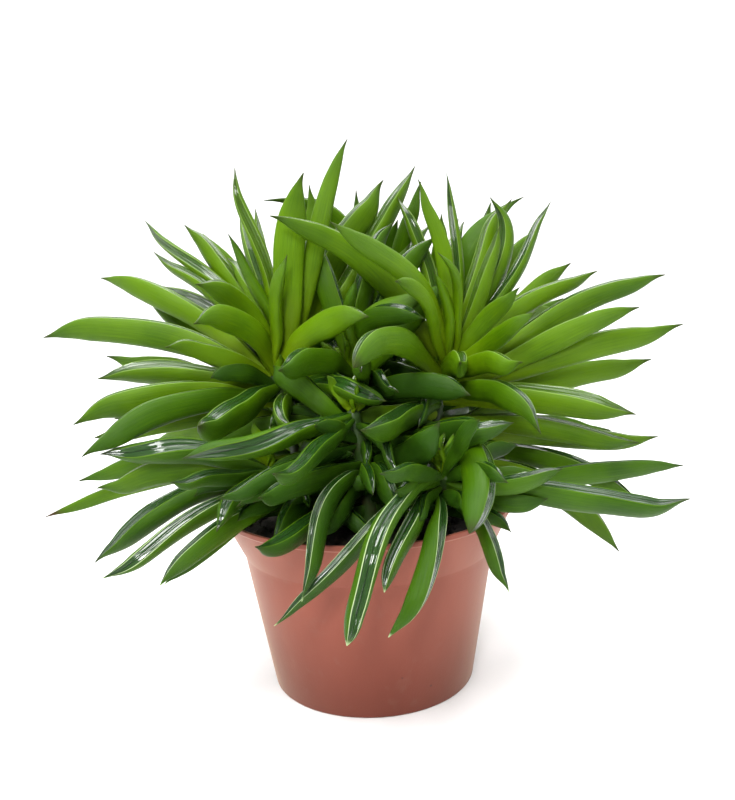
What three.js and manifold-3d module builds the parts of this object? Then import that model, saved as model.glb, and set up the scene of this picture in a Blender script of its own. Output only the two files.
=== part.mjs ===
import * as THREE from "three";
import { mergeVertices } from "three/addons/utils/BufferGeometryUtils.js";
import Module from "manifold-3d";

// Potted happy bean peperomia, in mm: x to the right, y away from the viewer, z up.
// The origin is the centre of the pot's underside.

const wasm = await Module();
wasm.setup();

// Pot: a thin tapered nursery pot with a flared band at its rim.
const RIM_RADIUS = 60;
const POT_HEIGHT = 76;
const BAND_RADIUS = 51;
const BAND_Z = 57;
const BASE_RADIUS = 41.5;
const WALL = 1.8;
const FLOOR = 2;
const LIP = 1.2;
const ROUNDING = 0.8;
const BAND_STEP = 0.5;
const DRAIN_RADIUS = 4;
const DRAIN_RING = 26;
const DRAIN_COUNT = 6;
const POT_SIDES = 40;
const ROUND_SIDES = 12;

// Soil: a plug that fills the pot to just under the rim.
const GAP = 0.3;
const SOIL_Z = 68;
const SOIL_MOUND = 3;
const SOIL_SIDES = 24;
const HOLE_SIDES = 10;
const HOLE_DEPTH = 22;
const HOLE_GAP = 0.5;
const SOIL_GAP = 0.9;
const SOIL_SLOPE = 6;
const SOIL_CROWN = 0.55;
const SOIL_RISE = 0.7;
const SOIL_EDGE = 1;

// Leafy stems: where each stands in the soil, and where its crown is.
const STEM_RADIUS = 3.4;
const STEM_SIDES = 6;
const STEM_RINGS = 5;
const STEM_TAPER = 0.15;
const BUD_RADIUS = 5.5;
const STEMS = {
  stem_left: { foot: [-26, 6], crown: [-34, -5, 128] },
  stem_right: { foot: [24, 6], crown: [35, 0, 125] },
  stem_front: { foot: [1, -25], crown: [-4, -31, 117] },
  stem_front_right: { foot: [27, -26], crown: [28, -40, 94] },
  stem_front_left: { foot: [-27, -23], crown: [-36, -30, 97] },
  stem_centre: { foot: [-1, -6], crown: [-3, -8, 128] },
  stem_back_left: { foot: [-24, 32], crown: [-32, 40, 122] },
  stem_back: { foot: [2, 36], crown: [5, 48, 122] },
  stem_back_right: { foot: [27, 32], crown: [40, 40, 116] },
};

// Leaves seen from the front. Each row: how far up its stem the leaf grows (0 soil, 1 crown),
// its tip x, y, z, how far it bows up at one third and two thirds of its length, how far it
// sways sideways and its depth from window to keel. Some rows end with how far open the leaf
// lies (1 is usual), how blunt its tip is (0 fine, 1 blunt) and how far it turns about its own
// length, in degrees.
const LEAVES = {
  stem_left: [
    [0.92, -125, 0, 147, 7, 8, 0, 12],
    [0.8, -94, 25, 147, 3, 3, 0, 9],
    [0.97, -73, -22, 144, 2, 2, 0, 8],
    [0.95, -107, 25, 168, 4, 6, 0, 10],
    [0.9, -87, 50, 161, 4, 4, 0, 10, 1, 0, -50],
    [1, -59, -27, 167, 6, 7, 0, 10],
    [0.98, -59, -40, 154, 7, 8, 0, 11],
    [1, -89, 38, 191, 9, 2, 0, 7, 1, 0, -60],
    [0.98, -83, 28, 179, 7, 2, 0, 7, 1, 0, -60],
    [1, -41, -4, 209, 7, 1, 0, 7, 1, 0, -50],
    [1, -47, -5, 186, 7, 2, 0, 6, 1, 0, -60],
    [0.97, -53, 14, 174, 5, 7, 0, 8, 1, 0, -40],
    [1, 1, 5, 216, -5, 3, 0, 8],
    [1, -22, -8, 203, -3, 6, 0, 13],
    [0.84, -102, -12, 132, 4, 3, 0, 11, 1, 0, -40],
    [0.78, -108, -28, 117, 6, 6, 0, 12],
    [0.84, -100, -47, 108, 5, 6, 0, 11],
    [0.7, -107, -8, 107, 4, 3, 0, 10],
    [0.94, -55, -60, 121, -1, -2, 0, 13, 1, 0.6, -20],
    [1, 4, -45, 153, 2, 1, 0, 11],
    [0.86, 8, -52, 124, 2, 2, 0, 10, 1, 0, 50],
    [0.5, -117, -2, 88, 4, 3, 0, 9],
    [0.42, -134, 4, 72, 3, 3, 0, 7],
    [1, -26, -22, 176, 1, 2, 0, 9],
    [1, -14, 14, 186, 0, 2, 0, 10],
    [1, 13, 15, 201, -1, 4, 0, 13],
    [0.98, 22, 22, 212, -2, -2, 0, 10, 1, 0, 30],
  ],
  stem_right: [
    [0.95, -3, -62, 138, 2, 11, 0, 11, 1.1, 0.8],
    [1, 12, -46, 166, 0, 9, 0, 8],
    [1, -29, -25, 186, 6, 9, 0, 10],
    [1, -11, -45, 188, 10, 6, 0, 10],
    [1, 25, 0, 202, 2, 5, 0, 7],
    [1, 37, 12, 204, 0, 0, -5, 7],
    [1, 55, 8, 194, -3, -12, 0, 9, 1, 0, 40],
    [0.98, 57, 0, 183, -1, 0, 0, 7, 1, 0, 50],
    [1, 80, 15, 191, 0, -2, 0, 6, 1, 0, 50],
    [0.96, 96, 6, 163, 6, 4, 0, 8],
    [0.92, 121, 0, 161, 0, 6, 0, 10],
    [0.9, 107, -14, 150, -2, 3, 0, 10],
    [0.85, 126, -8, 142, 1, 2, 0, 11],
    [0.75, 122, 18, 125, 1, 1, 0, 11],
    [0.98, 61, -18, 160, 2, 2, 0, 8],
    [0.96, 64, -32, 152, 2, 0, 0, 8],
    [0.93, 56, -48, 136, 3, 2, 0, 9],
    [1, 30, -20, 175, 2, 2, 5, 7],
    [0.9, 60, -60, 113, 2, 9, 0, 10, 1.1],
    [0.8, 103, -24, 110, 3, 3, 0, 13, 1, 0, 30],
    [0.66, 107, -16, 97, 2, 1, 0, 10, 1, 0, 30],
    [0.62, 123, 12, 88, -2, -3, 0, 10],
    [0.85, 87, 40, 144, 12, 13, 0, 12],
    [0.9, 72, 38, 150, 5, 5, 0, 11],
    [0.78, 3, -78, 120, 1, -2, 0, 11, 1, 0, -30],
    [1, 18, 12, 197, 2, 2, 0, 8, 1, 0, -40],
    [0.55, 30, -80, 87, 5, 6, 9, 13, 1.2, 0.5, -60],
    [0.98, 27, -12, 168, 0, 1, 2, 8],
  ],
  stem_front: [
    [1, -60, -70, 113, -1, 0, 0, 10, 1.4, 0, -90],
    [0.97, -29, -88, 111, -2, -3, 0, 9, 1.2, 0, -30],
    [0.75, -48, -80, 101, 0, 1, 0, 7],
    [0.6, -36, -76, 100, 0, 0, 0, 9],
    [0.4, -35, -86, 82, -2, -5, 0, 9, 1.2, 0, -50],
    [0.5, -22, -78, 63, 10, 9, 0, 9],
    [0.6, 26, -60, 118, -3, -4, 0, 12],
    [0.45, 10, -64, 86, 3, 3, 0, 10],
    [0.4, -16, -62, 82, 4, 3, 0, 10],
    [0.5, -45, -62, 92, 3, 4, 0, 9],
  ],
  stem_front_right: [
    [0.8, 4, -80, 65, 3, 3, 0, 9, 1.2, 0.5],
    [0.7, 5, -78, 50, 6, 6, 9, 8, 1.1, 0.3, -100],
    [0.6, 45, -66, 59, 4, 3, 0, 8],
    [1, 4, -82, 109, 1, 2, 0, 7],
    [0.97, 54, -48, 112, 2, 1, 0, 8, 1, 0, 60],
    [0.95, 70, -46, 97, 2, 1, 0, 8, 1, 0, 20],
    [0.9, 66, -40, 92, 2, 2, 0, 8],
    [0.7, 66, -42, 85, 3, -2, 0, 8],
    [1, 38, -68, 121, 1, 1, 0, 7],
    [0.9, 8, -70, 96, 1, 2, 0, 7],
    [0.85, 120, -38, 80, 1, -2, 0, 11, 1, 0, 50],
    [0.7, 130, 0, 83, 0, 1, 0, 9],
    [1, -10, -86, 52, 14, 6, 0, 8, 1.7, 1, -40],
    [0.5, -33, -80, 57, 12, 0, 6, 8],
  ],
  stem_front_left: [
    [1, -67, -60, 103, -1, -1, 0, 7, 1, 0, -60],
    [0.9, -100, -44, 68, 5, 6, 0, 10, 1, 0, -50],
    [0.85, -95, -56, 67, 2, 0, 0, 9, 1, 0, -50],
    [0.6, -72, -68, 66, -1, 4, 0, 9],
    [0.6, -67, -60, 60, 0, 0, 0, 7],
    [0.9, -52, -66, 86, 3, 3, 0, 9, 1, 0, -40],
    [1, -96, -40, 109, 2, 4, 0, 11, 1, 0, -70],
    [1, -102, -28, 92, 3, 3, 0, 10],
  ],
  stem_centre: [
    [0.98, -29, -52, 136, 3, 2, 0, 11],
    [1, 23, -34, 151, 12, 6, 0, 9, 1, 0, 30],
    [1, 28, -10, 160, 11, 3, 0, 9],
    [1, 32, 5, 179, 3, 3, 0, 10],
    [1, -18, 8, 180, 0, 0, 0, 10],
    [1, 2, -18, 166, 0, 2, 0, 9],
    [0.8, 38, -36, 118, 2, 2, 0, 11],
  ],
  stem_back_left: [
    [1, -42, 25, 182, 0, 2, 0, 8],
    [1, -21, 30, 202, 0, 2, 0, 9],
  ],
  stem_back: [
    [1, 1, 35, 200, 0, 2, 0, 9],
    [1, -38, 35, 197, 0, 28, 0, 10],
    [1, 28, 30, 202, 0, 2, 0, 9],
    [1, 18, 38, 186, 0, 2, 0, 11],
  ],
  stem_back_right: [
    [1, 70, 38, 195, 2, 16, 0, 10],
    [1, 46, 45, 186, 0, 2, 0, 8],
    [1, 41, 36, 187, 0, 2, 0, 9],
    [0.9, 54, 44, 160, 1, 3, 0, 11],
  ],
};

// Leaves that grow out of sight, spread round each stem by the golden angle. Facing is the
// bearing that they fan about and spread is the width of the fan, both in degrees.
const HIDDEN = [
  { stem: "stem_left", count: 8, facing: 130, spread: 100, rise: [-22, 74], length: [88, 78] },
  { stem: "stem_left", count: 4, facing: -50, spread: 120, rise: [-20, 25], length: [50, 42] },
  { stem: "stem_right", count: 8, facing: 50, spread: 100, rise: [-22, 74], length: [88, 78] },
  { stem: "stem_right", count: 4, facing: -120, spread: 100, rise: [-20, 25], length: [48, 42] },
  { stem: "stem_left", count: 3, facing: 25, spread: 70, rise: [0, 45], length: [48, 44] },
  { stem: "stem_right", count: 3, facing: 165, spread: 70, rise: [0, 40], length: [46, 42] },
  { stem: "stem_front", count: 4, facing: 115, spread: 150, rise: [-5, 20], length: [44, 40] },
  { stem: "stem_centre", count: 8, facing: 60, spread: 360, rise: [-15, 40], length: [62, 52] },
  { stem: "stem_centre", count: 6, facing: 90, spread: 150, rise: [30, 72], length: [74, 70] },
  { stem: "stem_back", count: 4, facing: -80, spread: 130, rise: [35, 68], length: [64, 68] },
  { stem: "stem_back_left", count: 13, facing: 128, spread: 150, rise: [-22, 74], length: [88, 78] },
  { stem: "stem_back", count: 13, facing: 92, spread: 150, rise: [-22, 74], length: [88, 78] },
  { stem: "stem_back_right", count: 13, facing: 46, spread: 150, rise: [-10, 74], length: [88, 78] },
];
const HIDDEN_START = 0.24;
const HIDDEN_BOW = [7, 2.1];
const HIDDEN_DEPTH = [10, 11];
const HIDDEN_SEED = 977;
const HIDDEN_LIFT_DRAW = 10;
const HIDDEN_LENGTH_DRAW = 8;
const GOLDEN = 0.618034;
const DRAW_GAIN = 1103515245;
const DRAW_STEP = 12345;
const DRAW_RANGE = 2147483648;

// Leaf shape: widths and depths as parts of the leaf's own depth, and its bends at one third
// and two thirds of its length.
const LEAF_STATIONS = [0.0, 0.14, 0.36, 0.6, 0.79, 0.92];
const LEAF_DEPTH = [0.24, 0.46, 0.86, 1.0, 0.8, 0.42];
const BLUNT_DEPTH = [0.24, 0.5, 0.86, 1.0, 0.95, 0.7];
const BEND_AT = [0.33, 0.68];
const BOW_REACH = 1.9;
const SWAY_REACH = [1, 1.6];
const STEEP = 0.35;
const WINDOW_TILT = 0.3;
const ROOT_SINK = 0.5;
const LEAF_SECTION = [
  [0, -0.5],
  [0.21, -0.12],
  [0.17, 0.4],
  [-0.17, 0.4],
  [-0.21, -0.12],
];
const HIDDEN_SECTION = [
  [0, -0.5],
  [0.22, 0.05],
  [0, 0.42],
  [-0.22, 0.05],
];

// Easing crossing leaves apart.
const EASE_ROUNDS = 130;
const EASE_SAMPLES = 3;
const EASE_ROWS = [-0.3, 0, 0.28];
const EASE_RADIUS = 0.26;
const EASE_CLEAR = 1.2;
const EASE_FREE = 0.16;
const EASE_STIFF = 0.006;
const EASE_TOUCH = 0.2;
const EASE_BOX = 6;
const EASE_SHUT = 0.3;
const EASE_LEAST = 0.5;
const EASE_GAIN = 1.6;
const EASE_ROOT = 0.34;
const EASE_RIM = 4;
const EASE_EVEN = 0.5;
const EASE_SEEN = 0.2;
const EASE_POT = 1;
const EASE_NEAREST = 0.01;
const TRUNK_STEPS = 16;

const POT_COLOR = 0xa8604f;
const SOIL_COLOR = 0x2a2320;
const LEAF_COLOR = 0x3f7f28;
const WELD = 1e-4;

function seeded(seed) {
  let state = seed;
  return () => {
    state = (state * DRAW_GAIN + DRAW_STEP) % DRAW_RANGE;
    return state / DRAW_RANGE;
  };
}

function stemPoint(stem, t) {
  const [fx, fy] = STEMS[stem].foot;
  const [cx, cy, cz] = STEMS[stem].crown;
  const lean = t * t;
  return new THREE.Vector3(fx + (cx - fx) * lean, fy + (cy - fy) * lean, SOIL_Z + (cz - SOIL_Z) * t);
}

function makeLeaf(stem, row, seen) {
  const [up, x, y, z, bow1, bow2, sway, depth, open = 1, blunt = 0, turn = 0] = row;
  const root = stemPoint(stem, up);
  const tip = new THREE.Vector3(x, y, z);
  const chord = tip.clone().sub(root);
  const out = new THREE.Vector3(chord.x, chord.y, 0);
  const side = new THREE.Vector3(-chord.y, chord.x, 0).normalize();
  const rise = new THREE.Vector3(0, 0, 1).addScaledVector(chord, -chord.z / chord.lengthSq());
  if (out.length() < STEEP * chord.length()) {
    rise.copy(out).multiplyScalar(-1).setZ(0);
  }
  rise.normalize();
  const [first, second] = [bow1, bow2].map((bow, k) => {
    const bend = root.clone().addScaledVector(chord, BEND_AT[k]);
    return bend.addScaledVector(rise, bow * BOW_REACH).addScaledVector(side, sway * SWAY_REACH[k]);
  });
  return { stem, depth, open, blunt, turn, seen, points: [root, first, second, tip] };
}

function hiddenRows({ stem, count, facing, spread, rise, length }) {
  const rows = [];
  const random = seeded(count * HIDDEN_SEED + facing);
  const { lerp, degToRad } = THREE.MathUtils;
  for (let i = 0; i < count; i += 1) {
    const level = (i + 0.5) / count;
    const up = lerp(HIDDEN_START, 1, level);
    const turn = ((i * GOLDEN) % 1) - 0.5;
    const bearing = degToRad(facing + spread * turn);
    const lift = degToRad(lerp(rise[0], rise[1], level) + HIDDEN_LIFT_DRAW * (random() - 0.5));
    const reach = lerp(length[0], length[1], level) + HIDDEN_LENGTH_DRAW * (random() - 0.5);
    const depth = lerp(HIDDEN_DEPTH[0], HIDDEN_DEPTH[1], random());
    const root = stemPoint(stem, up);
    const x = root.x + reach * Math.cos(lift) * Math.cos(bearing);
    const y = root.y + reach * Math.cos(lift) * Math.sin(bearing);
    const z = root.z + reach * Math.sin(lift);
    const bow = lerp(HIDDEN_BOW[0], HIDDEN_BOW[1], level);
    rows.push([up, x, y, z, bow, bow, 0, depth]);
  }
  return rows;
}

function allLeaves() {
  const leaves = [];
  for (const stem of Object.keys(STEMS)) {
    leaves.push(...LEAVES[stem].map((row) => makeLeaf(stem, row, true)));
  }
  for (const fan of HIDDEN) {
    leaves.push(...hiddenRows(fan).map((row) => makeLeaf(fan.stem, row, false)));
  }
  return leaves;
}

function weights(t) {
  const u = 1 - t;
  return [u * u * u, 3 * u * u * t, 3 * u * t * t, t * t * t];
}

function slopes(t) {
  const u = 1 - t;
  return [-3 * u * u, 3 * u * u - 6 * u * t, 6 * u * t - 3 * t * t, 3 * t * t];
}

function blend(points, factors) {
  const sum = new THREE.Vector3();
  points.forEach((point, i) => sum.addScaledVector(point, factors[i]));
  return sum;
}

// The leaf's frames: centre, and the direction from keel to window, carried along the curve
// without twist from the root, where the window faces up and in to the stem, and then turned
// by the leaf's own turn.
function leafFrames(leaf, steps) {
  const [root, , , tip] = leaf.points;
  const inward = new THREE.Vector3(root.x - tip.x, root.y - tip.y, 0).normalize();
  const carried = new THREE.Vector3(0, 0, 1).addScaledVector(inward, WINDOW_TILT);
  return steps.map((t) => {
    const centre = blend(leaf.points, weights(t));
    const along = blend(leaf.points, slopes(t)).normalize();
    carried.addScaledVector(along, -carried.dot(along)).normalize();
    const up = carried.clone().applyAxisAngle(along, THREE.MathUtils.degToRad(leaf.turn * t));
    return { centre, along, up, side: new THREE.Vector3().crossVectors(along, up) };
  });
}

function leafDepths(leaf) {
  return LEAF_DEPTH.map((fine, i) => leaf.depth * THREE.MathUtils.lerp(fine, BLUNT_DEPTH[i], leaf.blunt));
}

// Spheres that fill the leaf as it is faceted, so that easing leaves no facet in another leaf.
function leafSpheres(leaf) {
  const stations = [...LEAF_STATIONS, 1];
  const depths = [...leafDepths(leaf), 0];
  const fatness = EASE_RADIUS * (EASE_SHUT + (1 - EASE_SHUT) * leaf.open);
  const frames = leafFrames(leaf, stations);
  const spheres = [];
  for (let i = 0; i < frames.length - 1; i += 1) {
    for (let k = 1; k <= EASE_SAMPLES; k += 1) {
      const part = k / EASE_SAMPLES;
      const depth = THREE.MathUtils.lerp(depths[i], depths[i + 1], part);
      const centre = frames[i].centre.clone().lerp(frames[i + 1].centre, part);
      const up = frames[i].up.clone().lerp(frames[i + 1].up, part);
      const t = THREE.MathUtils.lerp(stations[i], stations[i + 1], part);
      for (const row of EASE_ROWS) {
        const at = centre.clone().addScaledVector(up, row * depth);
        spheres.push({ at, t, radius: Math.max(fatness * depth, EASE_LEAST) });
      }
    }
  }
  return spheres;
}

function potRadiusAt(z) {
  if (z < BAND_Z) {
    return BASE_RADIUS + ((BAND_RADIUS - BASE_RADIUS) * z) / BAND_Z;
  }
  return BAND_RADIUS + ((RIM_RADIUS - BAND_RADIUS) * (z - BAND_Z)) / (POT_HEIGHT - BAND_Z);
}

function pushOne(push, t, vector, share) {
  weights(t).forEach((weight, k) => {
    push[k].sum.addScaledVector(vector, weight * share);
    push[k].weight += weight;
  });
}

// What the pot and soil ask of a leaf: pass over the rim, and stay out of the soil.
function clearPot(sphere, push) {
  const { at, radius, t } = sphere;
  const reach = Math.hypot(at.x, at.y);
  const room = radius + EASE_CLEAR + EASE_POT;
  const inside = RIM_RADIUS - room - EASE_RIM;
  const outside = potRadiusAt(Math.min(at.z, POT_HEIGHT)) + room;
  const lift = POT_HEIGHT + room - at.z;
  if (lift > 0 && reach > inside && reach < outside) {
    const away = outside - reach;
    if (away < lift) {
      pushOne(push, t, new THREE.Vector3(at.x / reach, at.y / reach, 0), away);
    } else {
      pushOne(push, t, new THREE.Vector3(0, 0, 1), lift);
    }
  } else if (reach <= inside && at.z < SOIL_Z + SOIL_MOUND + room) {
    pushOne(push, t, new THREE.Vector3(0, 0, 1), SOIL_Z + SOIL_MOUND + room - at.z);
  }
}

function stemSpheres() {
  const spheres = [];
  for (const stem of Object.keys(STEMS)) {
    for (let i = 0; i <= TRUNK_STEPS; i += 1) {
      spheres.push({ stem, at: stemPoint(stem, i / TRUNK_STEPS), radius: STEM_RADIUS });
    }
  }
  return spheres;
}

function boxAround(spheres) {
  return new THREE.Box3().setFromPoints(spheres.map(({ at }) => at)).expandByScalar(EASE_BOX);
}

function easeApart(leaves) {
  const trunks = stemSpheres();
  const starts = leaves.map((leaf) => leaf.points.map((point) => point.clone()));
  for (let round = 0; round < EASE_ROUNDS; round += 1) {
    const spheres = leaves.map(leafSpheres);
    const boxes = spheres.map(boxAround);
    const pushes = leaves.map(() => [0, 1, 2, 3].map(() => ({ sum: new THREE.Vector3(), weight: 0 })));
    for (let a = 0; a < leaves.length; a += 1) {
      for (const sphere of spheres[a]) {
        clearPot(sphere, pushes[a]);
        for (const trunk of trunks) {
          const gap = sphere.at.distanceTo(trunk.at) - sphere.radius - trunk.radius - EASE_CLEAR;
          if (trunk.stem !== leaves[a].stem && gap < 0) {
            const away = sphere.at.clone().sub(trunk.at).normalize();
            pushOne(pushes[a], sphere.t, away, -gap);
          }
        }
      }
      for (let b = a + 1; b < leaves.length; b += 1) {
        if (boxes[a].intersectsBox(boxes[b])) {
          easePair(leaves, spheres, pushes, a, b);
        }
      }
    }
    moveLeaves(leaves, starts, pushes);
  }
}

function easePair(leaves, spheres, pushes, a, b) {
  const sameStem = leaves[a].stem === leaves[b].stem;
  const clear = sameStem ? 0 : EASE_CLEAR;
  const uneven = leaves[a].seen ? EASE_SEEN : 1 - EASE_SEEN;
  const shareA = leaves[a].seen === leaves[b].seen ? EASE_EVEN : uneven;
  const apart = new THREE.Vector3();
  for (const p of spheres[a]) {
    for (const q of spheres[b]) {
      if (sameStem && Math.min(p.t, q.t) < EASE_ROOT) {
        continue;
      }
      apart.subVectors(p.at, q.at);
      const reach = p.radius + q.radius + clear;
      const distance = apart.length();
      if (distance < reach) {
        apart.divideScalar(Math.max(distance, EASE_NEAREST));
        pushOne(pushes[a], p.t, apart, (reach - distance) * shareA);
        pushOne(pushes[b], q.t, apart, (distance - reach) * (1 - shareA));
      }
    }
  }
}

function moveLeaves(leaves, starts, pushes) {
  leaves.forEach((leaf, n) => {
    for (let k = 1; k < 4; k += 1) {
      const { sum, weight } = pushes[n][k];
      if (weight > EASE_FREE) {
        leaf.points[k].addScaledVector(sum, EASE_GAIN / weight);
      }
      leaf.points[k].lerp(starts[n][k], EASE_STIFF);
    }
  });
}

function touch(list, others) {
  const near = (p, q) => p.at.distanceTo(q.at) < p.radius + q.radius - EASE_TOUCH;
  return list.some((p) => others.some((q) => near(p, q)));
}

// A leaf out of sight that still touches another stem after the easing is left out.
function withoutClashes(leaves) {
  const trunks = stemSpheres();
  const kept = [];
  for (const leaf of [...leaves].sort((a, b) => Number(b.seen) - Number(a.seen))) {
    const spheres = leafSpheres(leaf);
    const foreign = kept.filter((other) => other.leaf.stem !== leaf.stem);
    const crossed =
      touch(spheres, trunks.filter((trunk) => trunk.stem !== leaf.stem)) ||
      foreign.some((other) => touch(spheres, other.spheres));
    if (leaf.seen || !crossed) {
      kept.push({ leaf, spheres });
    }
  }
  return kept.map(({ leaf }) => leaf);
}

function solid(geometry) {
  const bare = geometry.clone();
  bare.deleteAttribute("uv");
  bare.deleteAttribute("normal");
  const merged = mergeVertices(bare, WELD);
  const mesh = new wasm.Mesh({
    numProp: 3,
    vertProperties: new Float32Array(merged.attributes.position.array),
    triVerts: new Uint32Array(merged.index.array),
  });
  return new wasm.Manifold(mesh);
}

function meshOf(name, manifold, color) {
  const { vertProperties, triVerts } = manifold.getMesh();
  const geometry = new THREE.BufferGeometry();
  geometry.setAttribute("position", new THREE.BufferAttribute(new Float32Array(vertProperties), 3));
  geometry.setIndex(new THREE.BufferAttribute(new Uint32Array(triVerts), 1));
  geometry.computeVertexNormals();
  const mesh = new THREE.Mesh(geometry, new THREE.MeshStandardMaterial({ color }));
  mesh.name = name;
  return mesh;
}

// A closed skin over rings of points, each end drawn in to a point.
function skin(rings, start, end) {
  const count = rings[0].length;
  const positions = [start, ...rings.flat(), end].flatMap((p) => [p.x, p.y, p.z]);
  const index = [];
  const at = (ring, k) => 1 + ring * count + (k % count);
  const last = positions.length / 3 - 1;
  for (let k = 0; k < count; k += 1) {
    index.push(0, at(0, k + 1), at(0, k));
    index.push(last, at(rings.length - 1, k), at(rings.length - 1, k + 1));
    for (let r = 0; r < rings.length - 1; r += 1) {
      index.push(at(r, k), at(r, k + 1), at(r + 1, k));
      index.push(at(r + 1, k), at(r, k + 1), at(r + 1, k + 1));
    }
  }
  const geometry = new THREE.BufferGeometry();
  geometry.setAttribute("position", new THREE.Float32BufferAttribute(positions, 3));
  geometry.setIndex(index);
  return geometry;
}

function outward(geometry) {
  const made = solid(geometry);
  if (made.volume() > 0) {
    return made;
  }
  const index = geometry.index.array;
  for (let i = 0; i < index.length; i += 3) {
    [index[i + 1], index[i + 2]] = [index[i + 2], index[i + 1]];
  }
  return solid(geometry);
}

function leafSolid(leaf) {
  const frames = leafFrames(leaf, LEAF_STATIONS);
  const section = leaf.seen ? LEAF_SECTION : HIDDEN_SECTION;
  const depths = leafDepths(leaf);
  const rings = frames.map(({ centre, up, side }, i) => {
    const wide = depths[i] * leaf.open;
    return section.map(([x, z]) => {
      return centre.clone().addScaledVector(side, x * wide).addScaledVector(up, z * depths[i]);
    });
  });
  const start = leaf.points[0].clone().addScaledVector(frames[0].along, -STEM_RADIUS * ROOT_SINK);
  return outward(skin(rings, start, leaf.points[3]));
}

function stemSolid(stem) {
  const [fx, fy] = STEMS[stem].foot;
  const ring = (centre, radius) => {
    const points = [];
    for (let k = 0; k < STEM_SIDES; k += 1) {
      const arm = new THREE.Vector3(radius, 0, 0);
      arm.applyAxisAngle(new THREE.Vector3(0, 0, 1), (k * 2 * Math.PI) / STEM_SIDES);
      points.push(arm.add(centre));
    }
    return points;
  };
  const foot = new THREE.Vector3(fx, fy, SOIL_Z + SOIL_MOUND - HOLE_DEPTH + GAP);
  const rings = [ring(foot, STEM_RADIUS)];
  for (let i = 0; i <= STEM_RINGS; i += 1) {
    const up = i / STEM_RINGS;
    rings.push(ring(stemPoint(stem, up), STEM_RADIUS * (1 - STEM_TAPER * up)));
  }
  const { x, y, z } = stemPoint(stem, 1);
  const top = new THREE.Vector3(x, y, z + STEM_RADIUS);
  const bud = new THREE.IcosahedronGeometry(BUD_RADIUS, 0);
  bud.translate(x, y, z);
  return outward(skin(rings, foot, top)).add(outward(bud));
}

function lathe(profile, sides) {
  const points = profile.map(([r, z]) => new THREE.Vector2(r, z));
  const geometry = new THREE.LatheGeometry(points, sides);
  geometry.rotateX(Math.PI / 2);
  return outward(geometry);
}

function makePot() {
  const inner = potRadiusAt(BAND_Z) - WALL;
  const profile = [
    [0, 0],
    [BASE_RADIUS - ROUNDING, 0],
    [BASE_RADIUS, ROUNDING],
    [BAND_RADIUS - BAND_STEP, BAND_Z - BAND_STEP],
    [BAND_RADIUS + BAND_STEP, BAND_Z],
    [RIM_RADIUS - ROUNDING, POT_HEIGHT - ROUNDING],
    [RIM_RADIUS, POT_HEIGHT],
    [RIM_RADIUS - LIP, POT_HEIGHT],
    [RIM_RADIUS - WALL - ROUNDING, POT_HEIGHT - ROUNDING],
    [inner, BAND_Z],
    [BASE_RADIUS - WALL + BAND_STEP, FLOOR],
    [0, FLOOR],
  ];
  let pot = lathe(profile, POT_SIDES);
  for (let k = 0; k < DRAIN_COUNT; k += 1) {
    const angle = (k * 2 * Math.PI) / DRAIN_COUNT;
    const drain = new THREE.CylinderGeometry(DRAIN_RADIUS, DRAIN_RADIUS, 4 * FLOOR, ROUND_SIDES);
    drain.rotateX(Math.PI / 2);
    drain.translate(DRAIN_RING * Math.cos(angle), DRAIN_RING * Math.sin(angle), 0);
    pot = pot.subtract(outward(drain));
  }
  return meshOf("pot", pot, POT_COLOR);
}

function makeSoil() {
  const top = potRadiusAt(SOIL_Z) - WALL - SOIL_GAP;
  const profile = [
    [0, FLOOR + GAP],
    [BASE_RADIUS - WALL - SOIL_GAP, FLOOR + GAP],
    [BAND_RADIUS - WALL - SOIL_GAP, BAND_Z],
    [top, SOIL_Z - SOIL_EDGE],
    [top - SOIL_SLOPE, SOIL_Z],
    [top * SOIL_CROWN, SOIL_Z + SOIL_MOUND * SOIL_RISE],
    [0, SOIL_Z + SOIL_MOUND],
  ];
  let soil = lathe(profile, SOIL_SIDES);
  const radius = STEM_RADIUS + HOLE_GAP;
  for (const { foot } of Object.values(STEMS)) {
    const hole = new THREE.CylinderGeometry(radius, radius, 2 * HOLE_DEPTH, HOLE_SIDES);
    hole.rotateX(Math.PI / 2);
    hole.translate(foot[0], foot[1], SOIL_Z + SOIL_MOUND);
    soil = soil.subtract(outward(hole));
  }
  return meshOf("soil", soil, SOIL_COLOR);
}

const grown = allLeaves();
easeApart(grown);
const leaves = withoutClashes(grown);

const part = new THREE.Group();
part.name = "potted_happy_bean_peperomia";
part.add(makePot(), makeSoil());
for (const stem of Object.keys(STEMS)) {
  const pieces = leaves.filter((leaf) => leaf.stem === stem).map(leafSolid);
  const plant = pieces.reduce((whole, piece) => whole.add(piece), stemSolid(stem));
  part.add(meshOf(stem, plant, LEAF_COLOR));
}

export default part;
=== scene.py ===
"""Looks for a potted happy bean peperomia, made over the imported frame.

Shapes are worked out in millimetres in the frame of the part's source: x to the right, y away
from the viewer, z up, from the centre of the pot's underside. A mesh is scaled to metres as it
is made. The tables of stems, leaves and fans, and the rules that bow the leaves and ease them
apart, are those of the part's source, so that each finer piece keeps the form of its node.
"""

import logging
import math
from dataclasses import dataclass, field, fields, replace
from enum import Enum

import bpy
import numpy as np
from mathutils import Matrix, Vector


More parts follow.
